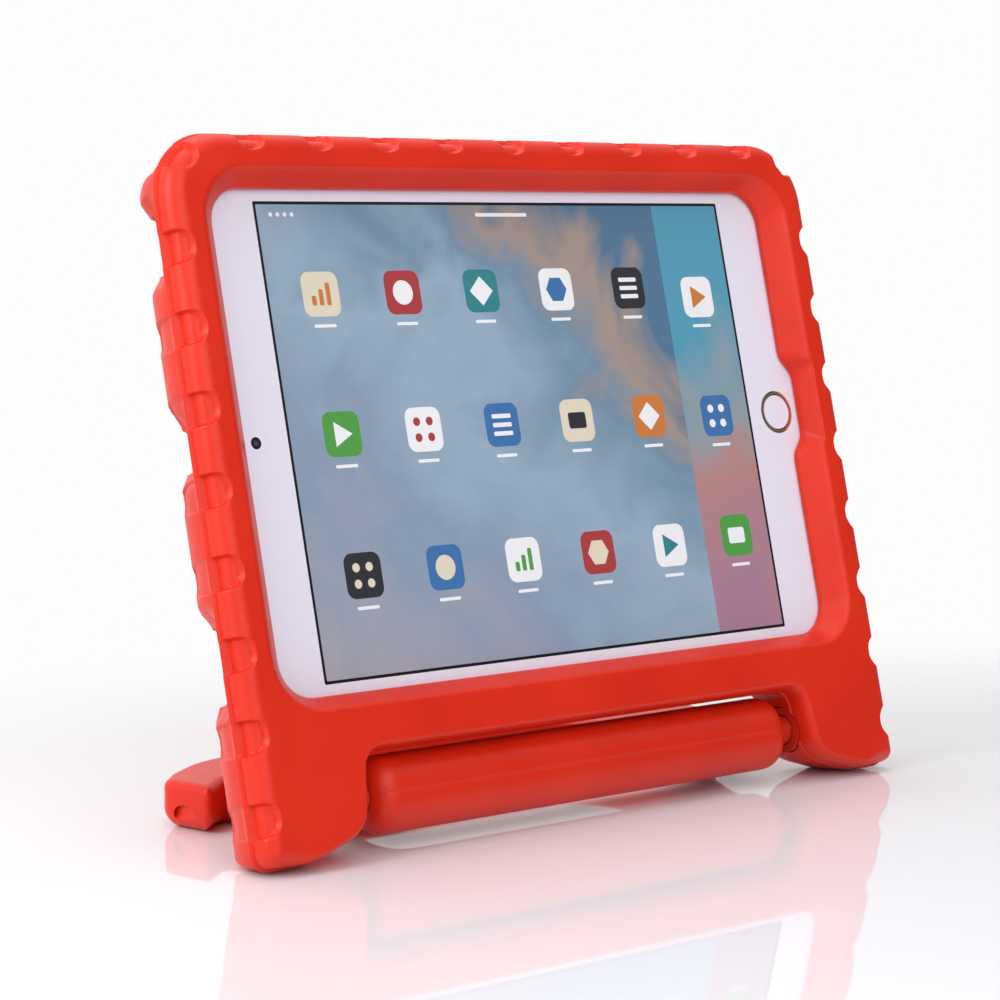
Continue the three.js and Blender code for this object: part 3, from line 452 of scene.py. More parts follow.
def add_node(tree, kind, inputs=None, stops=None, **settings):
    """Adds a shader node with its settings. An input's value is a number, a colour or another's output."""
    node = tree.nodes.new("ShaderNode" + kind)
    for key, value in settings.items():
        setattr(node, key, value)
    for socket, value in (inputs or {}).items():
        if isinstance(value, bpy.types.NodeSocket):
            tree.links.new(value, node.inputs[socket])
        else:
            node.inputs[socket].default_value = value
    if stops:
        elements = node.color_ramp.elements
        while len(elements) < len(stops):
            elements.new(0.5)
        for element, (position, colour) in zip(elements, stops):
            element.position = position
            element.color = colour
    return node


def calculate(tree, operation, *values, clamp=False):
    """The result of a Math node."""
    inputs = dict(enumerate(values))
    return add_node(tree, "Math", inputs, operation=operation, use_clamp=clamp).outputs[0]


def vector_value(tree, operation, *vectors):
    """The number that a Vector Math node gives."""
    inputs = dict(enumerate(vectors))
    return add_node(tree, "VectorMath", inputs, operation=operation).outputs["Value"]


def new_material(name, **sockets):
    """A material with a Principled shader, its tree and that shader."""
    material = bpy.data.materials.new(name)
    material.use_nodes = True
    tree = material.node_tree
    shader = tree.nodes["Principled BSDF"]
    for socket, value in sockets.items():
        shader.inputs[socket.replace("_", " ")].default_value = value
    return material, tree, shader


def place(tree):
    """The position on the piece, in metres of the model's frame, which moves with the piece."""
    return add_node(tree, "TexCoord").outputs["Object"]


def grain(tree, size_mm, detail=2.0, distortion=0.0):
    """Noise whose cells are about size_mm across."""
    return add_node(tree, "TexNoise", {
        "Vector": place(tree), "Scale": 1 / (size_mm * MM), "Detail": detail, "Distortion": distortion,
    }).outputs["Fac"]


def spread(tree, value, to_low, to_high, low=0.0, high=1.0, **settings):
    """The value with its range from low to high spread from to_low to to_high."""
    return add_node(tree, "MapRange", {
        "Value": value, "From Min": low, "From Max": high, "To Min": to_low, "To Max": to_high,
    }, **settings).outputs["Result"]


def vary_roughness(tree, shader, fac, low, high):
    tree.links.new(spread(tree, fac, low, high), shader.inputs["Roughness"])


def add_relief(tree, shader, height, strength, depth_mm):
    """Turns a height into bumps on the skin."""
    bump = add_node(tree, "Bump", {
        "Height": height, "Strength": strength, "Distance": depth_mm * MM,
    })
    tree.links.new(bump.outputs["Normal"], shader.inputs["Normal"])


def eva_foam(colours, name, parting_line=None):
    """Compression-moulded EVA foam: a satin skin with a fine pebbled grain, slightly uneven."""
    material, tree, shader = new_material(name, IOR=1.48, Specular_IOR_Level=0.35)
    mottle = spread(tree, grain(tree, 35, detail=3), 0.0, 1.0, 0.3, 0.7)
    tint = add_node(tree, "Mix", {
        0: mottle, 6: linear(colours.foam), 7: linear(colours.foam_shade),
    }, data_type="RGBA")
    tree.links.new(tint.outputs[2], shader.inputs["Base Color"])
    vary_roughness(tree, shader, grain(tree, 6, detail=4), 0.3, 0.42)
    pebble = grain(tree, 0.7, detail=3)
    uneven = calculate(tree, "MULTIPLY_ADD", grain(tree, 9, detail=2), 1.5, pebble)
    if parting_line:
        uneven = parting_line(tree, uneven)
    add_relief(tree, shader, uneven, 0.35, 0.12)
    return material


def handle_parting_line(tree, height):
    """Adds the thin line that the two halves of the mould leave along the front of the handle's bar, at its
    mid-height.
    """
    centred = add_node(tree, "VectorMath", {
        0: place(tree), 1: tuple(HANDLE_PIVOT),
    }, operation="SUBTRACT").outputs["Vector"]
    across = vector_value(tree, "DOT_PRODUCT", centred, tuple(CASE_UP))
    distance = calculate(tree, "ABSOLUTE", across)
    line = spread(tree, distance, -7.0, 0.0, 0.1 * MM, 0.45 * MM)
    forward = add_node(tree, "SeparateXYZ", {0: centred}).outputs["Y"]
    on_bar = calculate(tree, "LESS_THAN", forward, 0.0)
    return calculate(tree, "MULTIPLY_ADD", line, on_bar, height)


def moulded_plastic(name, hex_colour, roughness, grain_mm=0.5):
    """Injection-moulded ABS: an even colour under a fine spark-eroded texture."""
    material, tree, shader = new_material(name, Base_Color=linear(hex_colour), IOR=1.53)
    vary_roughness(tree, shader, grain(tree, 4), roughness - 0.05, roughness + 0.06)
    add_relief(tree, shader, grain(tree, grain_mm), 0.15, 0.04)
    return material


def anodised_aluminium(name, hex_colour):
    """Bead-blasted, anodised aluminium: a soft, even metal shine with a very fine frosted grain."""
    material, tree, shader = new_material(name, Base_Color=linear(hex_colour), Metallic=1.0)
    vary_roughness(tree, shader, grain(tree, 0.6, detail=3), 0.3, 0.4)
    add_relief(tree, shader, grain(tree, 0.3), 0.12, 0.02)
    return material


def polished_metal(name, hex_colour):
    """Diamond-cut metal trim: bright, with a faint turned haze."""
    material, tree, shader = new_material(name, Base_Color=linear(hex_colour), Metallic=1.0)
    vary_roughness(tree, shader, grain(tree, 0.8), 0.16, 0.24)
    return material


def under_glass(name, hex_colour, glow=0.0):
    """Ink or a lit pixel seen through polished cover glass: an even colour below a clear, hard gloss."""
    material, tree, shader = new_material(
        name, Base_Color=linear(hex_colour), IOR=1.5, Coat_Weight=0.6, Coat_Roughness=0.02,
    )
    vary_roughness(tree, shader, grain(tree, 40, detail=2), 0.1, 0.2)
    shader.inputs["Emission Color"].default_value = linear(hex_colour)
    shader.inputs["Emission Strength"].default_value = glow
    return material


def screen_field(name, stops, tilt, glow, wave_mm=46):
    """The lit background of the screen: soft bands of colour that drift across it, under the same glass."""
    material, tree, shader = new_material(
        name, IOR=1.5, Roughness=0.14, Coat_Weight=0.6, Coat_Roughness=0.02,
    )
    across = vector_value(tree, "DOT_PRODUCT", place(tree), tilt)
    drift = grain(tree, wave_mm, detail=4, distortion=0.8)
    mixed = calculate(tree, "MULTIPLY_ADD", drift, 0.55, across)
    ramp = add_node(tree, "ValToRGB", {"Fac": mixed}, stops=[(p, linear(c)) for p, c in stops])
    tree.links.new(ramp.outputs["Color"], shader.inputs["Base Color"])
    tree.links.new(ramp.outputs["Color"], shader.inputs["Emission Color"])
    shader.inputs["Emission Strength"].default_value = glow
    return material


def give(piece, material):
    """Sets the piece's only material."""
    piece.data.materials.clear()
    piece.data.materials.append(material)


def finish_nodes(finishes):
    """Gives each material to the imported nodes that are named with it."""
    for material, nodes in finishes.items():
        for node in nodes:
            give(frame["nodes"][node], material)


# What a user may change

def millimetres(name, description, default, **limits):
    return bpy.props.FloatProperty(name=name, description=f"{description}, mm", default=default, **limits)


def colour(name, description, default):
    return bpy.props.StringProperty(name=name, description=f"{description}, sRGB hex", default=default)


class TabletCaseSizes(bpy.types.PropertyGroup):
    groove_width: millimetres("Groove width", "Width of a grip groove", 8.6, min=2.0, max=14.0)
    groove_reach: millimetres("Groove reach", "How far a groove reaches in over the front", 5.8)
    groove_depth: millimetres("Groove depth", "Depth of the front half of a groove", 1.3)
    rear_groove_depth: millimetres("Rear groove depth", "Depth of the rear half of a groove", 0.8)
    edge_rounding: millimetres("Edge rounding", "Radius of the case's front edge", 5.5)
    back_taper: millimetres("Back taper", "How far the sides round in towards the back", 9.0)
    ridge_height: millimetres("Parting ridge height", "How far the parting ridge stands out", 0.8)
    ridge_width: millimetres("Parting ridge width", "Width of the parting ridge", 1.2)
    tile_size: millimetres("Tile size", "Side of a tile on the screen", 11.6)


class TabletCaseColours(bpy.types.PropertyGroup):
    foam: colour("Foam", "Foam colour", "DC2C12")
    foam_shade: colour("Foam shade", "Second foam colour of the mottling", "D0240C")
    bezel: colour("Bezel", "Printed border", "E8E4F3")
    shell: colour("Shell", "Aluminium shell", "CFCCCA")
    ring: colour("Ring", "Home button ring", "E2C7A2")
    floor: colour("Floor", "Floor", "E8E8EC")


# Case

def case_corners():
    right = [[CASE_HALF_WIDTH, FOOT_BOTTOM_Y, FOOT_RADIUS], [CASE_HALF_WIDTH, CASE_TOP_Y, CASE_TOP_RADIUS]]
    recess = [
        [CASE_HALF_WIDTH - SOLE_WIDTH, FOOT_BOTTOM_Y, SOLE_BLEND_RADIUS],
        [RECESS_HALF_X + FOOT_DRAFT, FOOT_BOTTOM_Y + FOOT_INNER_RISE, FOOT_INNER_RADIUS],
        [RECESS_HALF_X, PIVOT_Y + RECESS_ABOVE_PIVOT, RECESS_RADIUS],
    ]
    left = [[-x, y, r] for x, y, r in reversed(right)]
    left_recess = [[-x, y, r] for x, y, r in recess]
    return right + left + left_recess + list(reversed(recess))


def groove_places():
    """(point on the outer edge, inward direction) of every grip groove."""
    places = []
    count, from_top, pitch = SIDE_GROOVES
    for k in range(count):
        y = CASE_TOP_Y - from_top - pitch * k
        places.append((Vector((-CASE_HALF_WIDTH, y)), Vector((1, 0))))
        places.append((Vector((CASE_HALF_WIDTH, y)), Vector((-1, 0))))
    count, from_side, pitch = TOP_GROOVES
    for k in range(count):
        x = -CASE_HALF_WIDTH + from_side + pitch * k
        places.append((Vector((x, CASE_TOP_Y)), Vector((0, -1))))
    corner = CASE_TOP_RADIUS * (1 - math.sqrt(0.5))
    for side in (-1, 1):
        point = Vector((side * (CASE_HALF_WIDTH - corner), CASE_TOP_Y - corner))
        places.append((point, Vector((-side, -1)).normalized()))
    return places


def groove_share(point, groove, sizes):
    """1 on the floor of a groove's tongue, 0 outside it, and a crisp soft edge between."""
    start, inward = groove
    offset = point - start
    across = abs(offset.x * inward.y - offset.y * inward.x)
    along = offset.dot(inward)
    half = sizes.groove_width / 2
    past = max(along - (sizes.groove_reach - half), 0.0)
    distance = math.hypot(across, past) - half
    return 1 - smooth_share(-0.7, 0.1, distance)


def rounding_share(point):
    """1 where the case's edge is fully rounded, less along the recess, with a change along the soles."""
    sole_end = CASE_HALF_WIDTH - FOOT_RADIUS - 0.05
    share = 1.0 if point.y > 0 else smooth_share(CASE_HALF_WIDTH - SOLE_WIDTH, sole_end, abs(point.x))
    return RECESS_EDGE_SHARE + (1 - RECESS_EDGE_SHARE) * share


def notch_dip(point, z):
    """How far the rear half of the wall dips in beside the cut-outs, which rounds their rims."""
    dip = 0.0
    for side, y, length in WALL_CUTOUTS:
        if point.x * side > CASE_HALF_WIDTH - 3:
            dip = max(dip, 1 - smooth_share(-1.0, 5.5, abs(point.y - y) - length / 2))
    return NOTCH_DIP * dip * smooth_share(-0.2, 6.0, RIDGE_Z - z)


def case_profile(sizes):
    """(inset, z, outward share, forward share) from the back face round the side to the front face."""
    wall = sizes.ridge_height
    half = sizes.ridge_width / 2
    rows = [(sizes.back_taper + more, CASE_BACK_Z, 0.0, -1.0) for more in (2.0, 1.0)]
    width = sizes.back_taper - wall
    depth = RIDGE_Z - half - 0.15 - CASE_BACK_Z
    steps = 20
    for k in range(steps + 1):
        angle = math.pi / 2 * k / steps
        normal = Vector((math.sin(angle) / width, -math.cos(angle) / depth)).normalized()
        rows.append((
            wall + width * (1 - math.sin(angle)), CASE_BACK_Z + depth * (1 - math.cos(angle)),
            normal.x, normal.y,
        ))
    for k in range(9):
        share = -1 + 2 * k / 8
        bulge = wall * math.cos(share * math.pi / 2) ** 0.7
        rows.append((wall - bulge, RIDGE_Z + share * half, 1.0, 0.0))
    rows += [(wall, RIDGE_Z + half + more, 1.0, 0.0) for more in (0.12, 0.3, 0.5)]
    radius = sizes.edge_rounding - wall
    steps = 18
    for k in range(steps + 1):
        angle = math.pi / 2 * k / steps
        rows.append((
            wall + radius * (1 - math.cos(angle)), CASE_FACE_Z - radius * (1 - math.sin(angle)),
            math.cos(angle), math.sin(angle),
        ))
    face = sizes.edge_rounding
    rows += [(face + more, CASE_FACE_Z, 0.0, 1.0) for more in (0.2, 0.4, 0.6, 0.8, 1.4)]
    return rows


def case_marks(grooves, sizes):
    """Marks round the case, closer together at the edges of the grooves."""
    corners = case_corners()
    marks = outline_marks(corners, 0.1)
    points = [point for point, _ in outline_points(corners, marks)]
    half = sizes.groove_width / 2
    kept = [0]
    for i, point in enumerate(points):
        wanted = 1.8
        for start, inward in grooves:
            offset = point - start
            if offset.length < half + 2.5:
                edge = abs(abs(offset.x * inward.y - offset.y * inward.x) - half + 0.3)
                wanted = min(wanted, 0.2 if edge < 0.8 else 0.8)
        if (point - points[kept[-1]]).length >= wanted:
            kept.append(i)
    return [marks[i] for i in kept]


def window_corners(grow_x, grow_low, grow_high, notch_grow):
    """The window with its bulge round the home button."""
    high_x = WINDOW_HALF_X + grow_x
    notch_x = WINDOW_HALF_X + HOME_BULGE_REACH + notch_grow
    half = HOME_BULGE_HALF + notch_grow
    wide = half + HOME_BULGE_FLARE * (notch_x - high_x) / HOME_BULGE_REACH
    radius = WINDOW_RADIUS + grow_high
    low_y = -WINDOW_HALF_Y - grow_low
    high_y = WINDOW_HALF_Y + grow_high
    soft = 5 if notch_x - high_x > 2 else 1.2
    return [
        [high_x, low_y, radius],
        [high_x, HOME_BULGE_Y - wide, soft],
        [notch_x, HOME_BULGE_Y - half, soft],
        [notch_x, HOME_BULGE_Y + half, soft],
        [high_x, HOME_BULGE_Y + wide, soft],
        [high_x, high_y, radius],
        [-high_x, high_y, radius],
        [-high_x, low_y, radius],
    ]


def curve_between(a, b, c, steps):
    """Points from a to c that bend round b."""
    points = []
    for k in range(steps + 1):
        t = k / steps
        points.append(tuple(a[i] * (1 - t) ** 2 + b[i] * 2 * t * (1 - t) + c[i] * t * t for i in range(2)))
    return points


def window_profile():
    """(share of the way out to the face, z) from the front face down the slope to the lip's underside."""
    face_edge = curve_between((1.22, CASE_FACE_Z), (1.0, CASE_FACE_Z), (0.8, CASE_FACE_Z - 1.1), 6)
    lip_edge = curve_between((0.13, LIP_TOP_Z + 0.72), (0.0, LIP_TOP_Z), (0.0, LIP_TOP_Z - 0.8), 5)
    under = curve_between((0.0, SEAT_GAP + 0.4), (0.0, SEAT_GAP), (0.06, SEAT_GAP), 3)
    return face_edge + [(0.5, 4.8)] + lip_edge + under


def case_surface(sizes):
    grooves = groove_places()
    corners = case_corners()
    marks = case_marks(grooves, sizes)
    edge = outline_points(corners, marks)
    near = [[g for g in grooves if (point - g[0]).length < GROOVE_NEAR] for point, _ in edge]
    surface = Surface(case_point)
    rings = []
    ridge_front = RIDGE_Z + sizes.ridge_width / 2
    for inset, z, outward, forward in case_profile(sizes):
        front_share = smooth_share(ridge_front, ridge_front + 0.6, z)
        rear_share = smooth_share(1.2, 4.0, ridge_front - z)
        depth = 0.15 + sizes.groove_depth * front_share + sizes.rear_groove_depth * rear_share
        ring = []
        inner = outline_points(inset_corners(corners, inset), marks)
        for (point, normal), (full, _), close in zip(edge, inner, near):
            flat = point.lerp(full, rounding_share(point))
            share = max((groove_share(flat, g, sizes) for g in close), default=0.0)
            flat = flat + normal * (outward * (depth * share + notch_dip(point, z)))
            ring.append((flat.x, flat.y, z - forward * depth * share))
        rings.append(ring)
    loops = surface.stack(rings, closed=False)
    lip = stepped_outline(window_corners(0, 0, 0, 0), 9, 6)
    face = stepped_outline(window_corners(*WINDOW_SLOPE), 9, 6)
    window = []
    for share, z in window_profile():
        window.append([(*p.lerp(q, share), z) for p, q in zip(lip, face)])
    window_loops = surface.stack(window, closed=False)
    surface.fill(loops[0], faces_back=True)
    surface.fill(loops[-1], window_loops[0], [flat_plan(rings[-1]), flat_plan(window[0])])
    pocket = rectangle(
        -PANEL_HALF_X - SEAT_GAP, -PANEL_HALF_Y - SEAT_GAP,
        PANEL_HALF_X + SEAT_GAP, PANEL_HALF_Y + SEAT_GAP, PANEL_CORNER + SEAT_GAP,
    )
    pocket_plan = stepped_outline(pocket, 10, 8)
    pocket_rings = [[(p.x, p.y, z) for p in pocket_plan] for z in (SEAT_GAP, POCKET_BACK_Z)]
    pocket_loops = surface.stack(pocket_rings, closed=False)
    surface.fill(pocket_loops[0], window_loops[-1], [pocket_plan, flat_plan(window[-1])], faces_back=True)
    surface.fill(pocket_loops[1])
    return surface


def wall_notch(low_x, low_y, high_x, high_y):
    """A cutter through a wall, from the pocket to the outside, open to the back with a softened rim."""
    surface = Surface(case_point)
    corners = rectangle(low_x, low_y, high_x, high_y, 2)
    plan = [
        (-0.9, CASE_BACK_Z - 1), (-0.9, CASE_BACK_Z), (0.0, CASE_BACK_Z + 1.2),
        (0.0, -1.6), (0.5, -0.6),
    ]
    surface.stack([[(p.x, p.y, z) for p in stepped_outline(corners, 5, 3, inset)] for inset, z in plan])
    return surface


def round_hole(x, y, steps):
    """A cutter along z of (radius, z) steps."""
    surface = Surface(case_point)
    surface.stack([[(p.x, p.y, z) for p in circle(x, y, radius, 64)] for radius, z in steps])
    return surface


def hole_along_x(radius, from_x, to_x, to_model):
    """A round cutter along x through the pivot."""
    surface = Surface(lambda a, b, along: to_model(along, a, b))
    surface.stack([[(p.x, p.y, along) for p in circle(0, 0, radius, 48)] for along in (from_x, to_x)])
    return surface


def case_cutters():
    outer = CASE_HALF_WIDTH + 3
    inner = PANEL_HALF_X + SEAT_GAP - 1
    cutters = []
    for side, y, length in WALL_CUTOUTS:
        low, high = sorted((side * inner, side * outer))
        cutters.append(wall_notch(low, y - length / 2, high, y + length / 2))
    cutters.append(wall_notch(POWER_CUTOUT_X[0], PANEL_HALF_Y - 0.7, POWER_CUTOUT_X[1], CASE_TOP_Y + 3))
    cutters.append(round_hole(*REAR_CAMERA_PLACE, [
        (9.0, CASE_BACK_Z - 1), (8.5, CASE_BACK_Z), (7.5, CASE_BACK_Z + 1.2), (7.5, -6.1),
    ]))
    about_pivot = lambda x, a, b: case_point(x, PIVOT_Y + a, PIVOT_Z + b)
    for side in (-1, 1):
        ends = sorted((side * (RECESS_HALF_X - 1), side * (RECESS_HALF_X + BUSH_HOLE_DEPTH)))
        cutters.append(hole_along_x(BUSH_HOLE_RADIUS, *ends, about_pivot))
    return cutters


def stand_on_table(piece):
    """Presses what would reach below the table flat against it."""
    for vertex in piece.data.vertices:
        vertex.co.z = max(vertex.co.z, 0.0)


class TABLETCASE_OT_body(bpy.types.Operator):
    """Builds the foam body of the case"""
    bl_idname = "tabletcase.body"
    bl_label = "Foam case body"

    def execute(self, context):
        sizes = context.scene.tablet_case_sizes
        piece = add_object("foam_body", case_surface(sizes).mesh("foam_body"))
        combine(piece, case_cutters(), "DIFFERENCE")
        stand_on_table(piece)
        smooth_shaded(piece)
        give(piece, eva_foam(context.scene.tablet_case_colours, "eva_foam_moulded"))
        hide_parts("case_body")
        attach(piece, "case")
        return {"FINISHED"}


# Handle

def bar_surface():
    """The bar between the feet, square to the case, with rounded ends."""
    rings = []
    corners = rectangle(-BAR_HALF_DEPTH, -BAR_HALF_HEIGHT, BAR_HALF_DEPTH, BAR_HALF_HEIGHT, BAR_ROUNDING)
    steps = quarter_round(HANDLE_END_ROUNDING, 10)
    for side, order in ((-1, reversed(steps)), (1, steps)):
        for inset, drop in order:
            plan = stepped_outline(corners, 12, 3, inset)
            rings.append([(p.x, p.y, side * (HANDLE_BAR_HALF - drop)) for p in plan])
    tilt = Matrix.Rotation(-LEAN, 3, "X")

    def to_model(a, b, along):
        return HANDLE_PIVOT + tilt @ Vector((along, a, b)) * MM

    surface = Surface(to_model)
    surface.stack(rings)
    return surface


def grip_corners():
    """Plan of the arms and the wide grip, whose ends hook forwards."""
    half = HANDLE_BAR_HALF + GRIP_PAST_BAR
    right = [
        [HANDLE_BAR_HALF - HANDLE_END_ROUNDING, -4.5, 2],
        [HANDLE_BAR_HALF + 4, 24, 30],
        [HANDLE_BAR_HALF + WAIST_PAST_BAR, 48, WING_FRONT_RADIUS],
        [HANDLE_BAR_HALF + WING_FRONT_PAST_BAR, WING_FRONT_Y, WING_FRONT_RADIUS],
        [half, 55, 5],
        [half - 7, WING_BACK_Y, 7],
        [half * 0.79, 70.55, 30],
        [half * 0.5, 77.96, 60],
        [half * 0.2, 81, 90],
    ]
    return right + [[-x, y, r] for x, y, r in reversed(right)]


def grip_surface():
    """The two arms, which come down from the bar, and the grip, which lies level on the table."""
    table = -HANDLE_PIVOT.z / MM

    def level(y):
        return smooth_share(9, 39, y)

    def underside(y):
        return ARM_LIFT * (1 - level(y)) + table

    def top(y):
        return underside(y) + ARM_THICKNESS + (GRIP_THICKNESS - ARM_THICKNESS) * level(y)

    opening = rectangle(
        ARM_WIDTH - HANDLE_BAR_HALF, FINGER_OPENING_FRONT_Y,
        HANDLE_BAR_HALF - ARM_WIDTH, FINGER_OPENING_BACK_Y, FINGER_OPENING_RADIUS,
    )
    rows = []
    for radius, height, sign in ((GRIP_UNDER_ROUNDING, underside, 1), (GRIP_TOP_ROUNDING, top, -1)):
        steps = quarter_round(radius, 9)
        for inset, drop in (reversed(steps) if sign > 0 else steps):
            rows.append((inset, lambda y, h=height, d=drop * sign: h(y) + d))
    surface = Surface(handle_point)
    outlines = [[], []]
    for inset, height in rows:
        for plan, corners, grow in ((0, grip_corners(), inset), (1, opening, -inset)):
            points = stepped_outline(corners, 8, 16, grow)
            outlines[plan].append([(p.x, p.y, height(p.y)) for p in points])
    outer = surface.stack(outlines[0], closed=False)
    first_hole_face = len(surface.faces)
    hole = surface.stack(outlines[1], closed=False)
    for i in range(first_hole_face, len(surface.faces)):
        surface.faces[i] = tuple(reversed(surface.faces[i]))
    for end in (0, -1):
        plans = [flat_plan(outline[end]) for outline in outlines]
        surface.fill(outer[end], hole[end], plans, faces_back=end == 0)
    return surface


def thumb_marks():
    """Shallow ovals that are sunk in the ends of the grip, as cutters."""
    half_length, half_height, depth = THUMB_MARK_REACH
    marks = []
    for side in (-1, 1):
        centre = (side * (HANDLE_BAR_HALF + 20.1), WING_FRONT_Y + 9.5, 4.7 - HANDLE_PIVOT.z / MM)
        surface = Surface(lambda a, b, c, m=centre: handle_point(m[0] + c, m[1] + a, m[2] + b))
        rings = []
        for k in range(1, 16):
            angle = math.pi * k / 16
            reach = math.sin(angle)
            rings.append([
                (p.x * half_length * reach, p.y * half_height * reach, -depth * math.cos(angle))
                for p in circle(0, 0, 1, 48)
            ])
        surface.stack(rings)
        marks.append(surface)
    return marks


class TABLETCASE_OT_handle(bpy.types.Operator):
    """Builds the foam handle: bar, arms and grip"""
    bl_idname = "tabletcase.handle"
    bl_label = "Foam handle"

    def execute(self, context):
        piece = add_object("foam_handle", bar_surface().mesh("foam_handle"))
        combine(piece, [grip_surface()], "UNION")
        stand_on_table(piece)
        cutters = thumb_marks()
        for side in (-1, 1):
            ends = sorted((side * (HANDLE_BAR_HALF - PIN_HOLE_DEPTH), side * (HANDLE_BAR_HALF + 1)))
            cutters.append(hole_along_x(PIN_HOLE_RADIUS, *ends, handle_point))
        combine(piece, cutters, "DIFFERENCE")
        smooth_shaded(piece, 35)
        foam = eva_foam(context.scene.tablet_case_colours, "eva_foam_handle", handle_parting_line)
        give(piece, foam)
        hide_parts("handle")
        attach(piece, "handle")
        return {"FINISHED"}


class TABLETCASE_OT_hinge(bpy.types.Operator):
    """Finishes the hinge's pins and bushes"""
    bl_idname = "tabletcase.hinge"
    bl_label = "Hinge pins and bushes"

    def execute(self, context):
        # The pins and bushes are foam red, painted darker than the foam as shade, so they read as the
        # shaded gap at the bar's ends.
        plastic = moulded_plastic("abs_hinge_darkened_for_shade", "C42812", 0.4)
        finish_nodes({
            plastic: ("pivot_pin_left", "pivot_pin_right", "pivot_bush_left", "pivot_bush_right"),
        })
        return {"FINISHED"}


# Tablet

def bar_shape(x, y, half_x, half_y, radius=0.3):
    return stepped_outline(rectangle(x - half_x, y - half_y, x + half_x, y + half_y, radius), 3, 1)


def motif(kind, x, y, size):
    """The plain shapes drawn on a tile, as a list of loops."""
    if kind == "disc":
        return [circle(x, y, size * 0.28, 28)]
    if kind == "diamond":
        return [circle(x, y, size * 0.34, 4)]
    if kind == "triangle":
        return [circle(x - size * 0.04, y, size * 0.32, 3)]
    if kind == "hexagon":
        return [circle(x, y, size * 0.32, 6)]
    if kind == "bars":
        return [bar_shape(x, y + k * size * 0.2, size * 0.28, size * 0.05) for k in (-1, 0, 1)]
    if kind == "columns":
        heights = (0.12, 0.2, 0.28)
        return [
            bar_shape(x + (k - 1) * size * 0.2, y + (h - 0.28) * size * 0.9, size * 0.06, size * h * 0.9)
            for k, h in enumerate(heights)
        ]
    if kind == "dots":
        pitch = size * 0.18
        return [circle(x + a * pitch, y + b * pitch, size * 0.1, 16) for a in (-1, 1) for b in (-1, 1)]
    return [bar_shape(x, y, size * 0.27, size * 0.19, size * 0.06)]


FIELD_TILES = (
    ("cream", "orange", "columns"), ("red", "white", "disc"), ("teal", "white", "diamond"),
    ("white", "blue", "hexagon"), ("dark", "white", "bars"),
    ("green", "white", "triangle"), ("white", "red", "dots"), ("blue", "white", "bars"),
    ("cream", "dark", "panel"), ("orange", "white", "diamond"),
    ("dark", "cream", "dots"), ("blue", "cream", "disc"), ("white", "green", "columns"),
    ("red", "cream", "hexagon"), ("white", "teal", "triangle"),
)
DOCK_TILES = (("white", "orange", "triangle"), ("blue", "white", "dots"), ("green", "white", "panel"))
SCREEN_INKS = {
    "white": "ECECEF", "cream": "DDD3BE", "orange": "C9793A", "red": "A83A3C", "green": "4E9A45",
    "blue": "3C6FA8", "teal": "2F8288", "dark": "2B2D33",
}

FIELD_COLOURS = (
    (0.1, "A9A2AB"), (0.35, "8497AE"), (0.5, "93A9BD"),
    (0.62, "6F8BA2"), (0.69, "A08E84"), (0.75, "4F7391"),
)
DOCK_COLOURS = ((0.5, "A27A93"), (0.72, "B1807D"), (0.86, "8C98A0"), (1.0, "5297B2"))


def screen_regions(sizes):
    """(material name, loop) from the lowest layer to the top one, in the case's frame."""
    tile = sizes.tile_size
    panel = rectangle(-PANEL_HALF_X, -PANEL_HALF_Y, PANEL_HALF_X, PANEL_HALF_Y, PANEL_CORNER)
    border = rectangle(-BORDER_HALF_X, -BORDER_HALF_Y, BORDER_HALF_X, BORDER_HALF_Y, 0.3)
    field = rectangle(-PICTURE_HALF_X, -PICTURE_HALF_Y, PICTURE_HALF_X, PICTURE_HALF_Y, 0.1)
    dock = rectangle(DOCK_FROM_X, -PICTURE_HALF_Y, PICTURE_HALF_X, PICTURE_HALF_Y, 0.1)
    regions = [
        ("bezel", stepped_outline(panel, 10, 4)),
        ("border", stepped_outline(border, 2, 1)),
        ("field", stepped_outline(field, 1, 6)),
        ("dock", stepped_outline(dock, 1, 6)),
        ("camera_eye", circle(FRONT_CAMERA_X, 0, 1.55, 28)),
        # The lighter disc in the middle of the camera dot is a painted glint.
        ("camera_glint_spot", circle(FRONT_CAMERA_X, 0, 0.7, 16)),
    ]
    places = [(-64 + 26.5 * (k % 5), 37 - 36 * (k // 5)) for k in range(len(FIELD_TILES))]
    places += [(67.9, 34 - 34 * k) for k in range(len(DOCK_TILES))]
    for (x, y), (ground, ink, kind) in zip(places, FIELD_TILES + DOCK_TILES):
        half = tile / 2
        square = rectangle(x - half, y - half, x + half, y + half, tile * 0.22)
        regions.append((ground, stepped_outline(square, 6, 1)))
        regions += [(ink, loop) for loop in motif(kind, x, y, tile)]
        regions.append(("white", bar_shape(x, y - half - 2.4, tile * 0.3, 0.42)))
    regions.append(("white", bar_shape(0, 57.6, 9, 0.5)))
    regions += [("white", circle(-76 + 2.2 * k, 57.6, 0.6, 12)) for k in range(4)]
    return regions


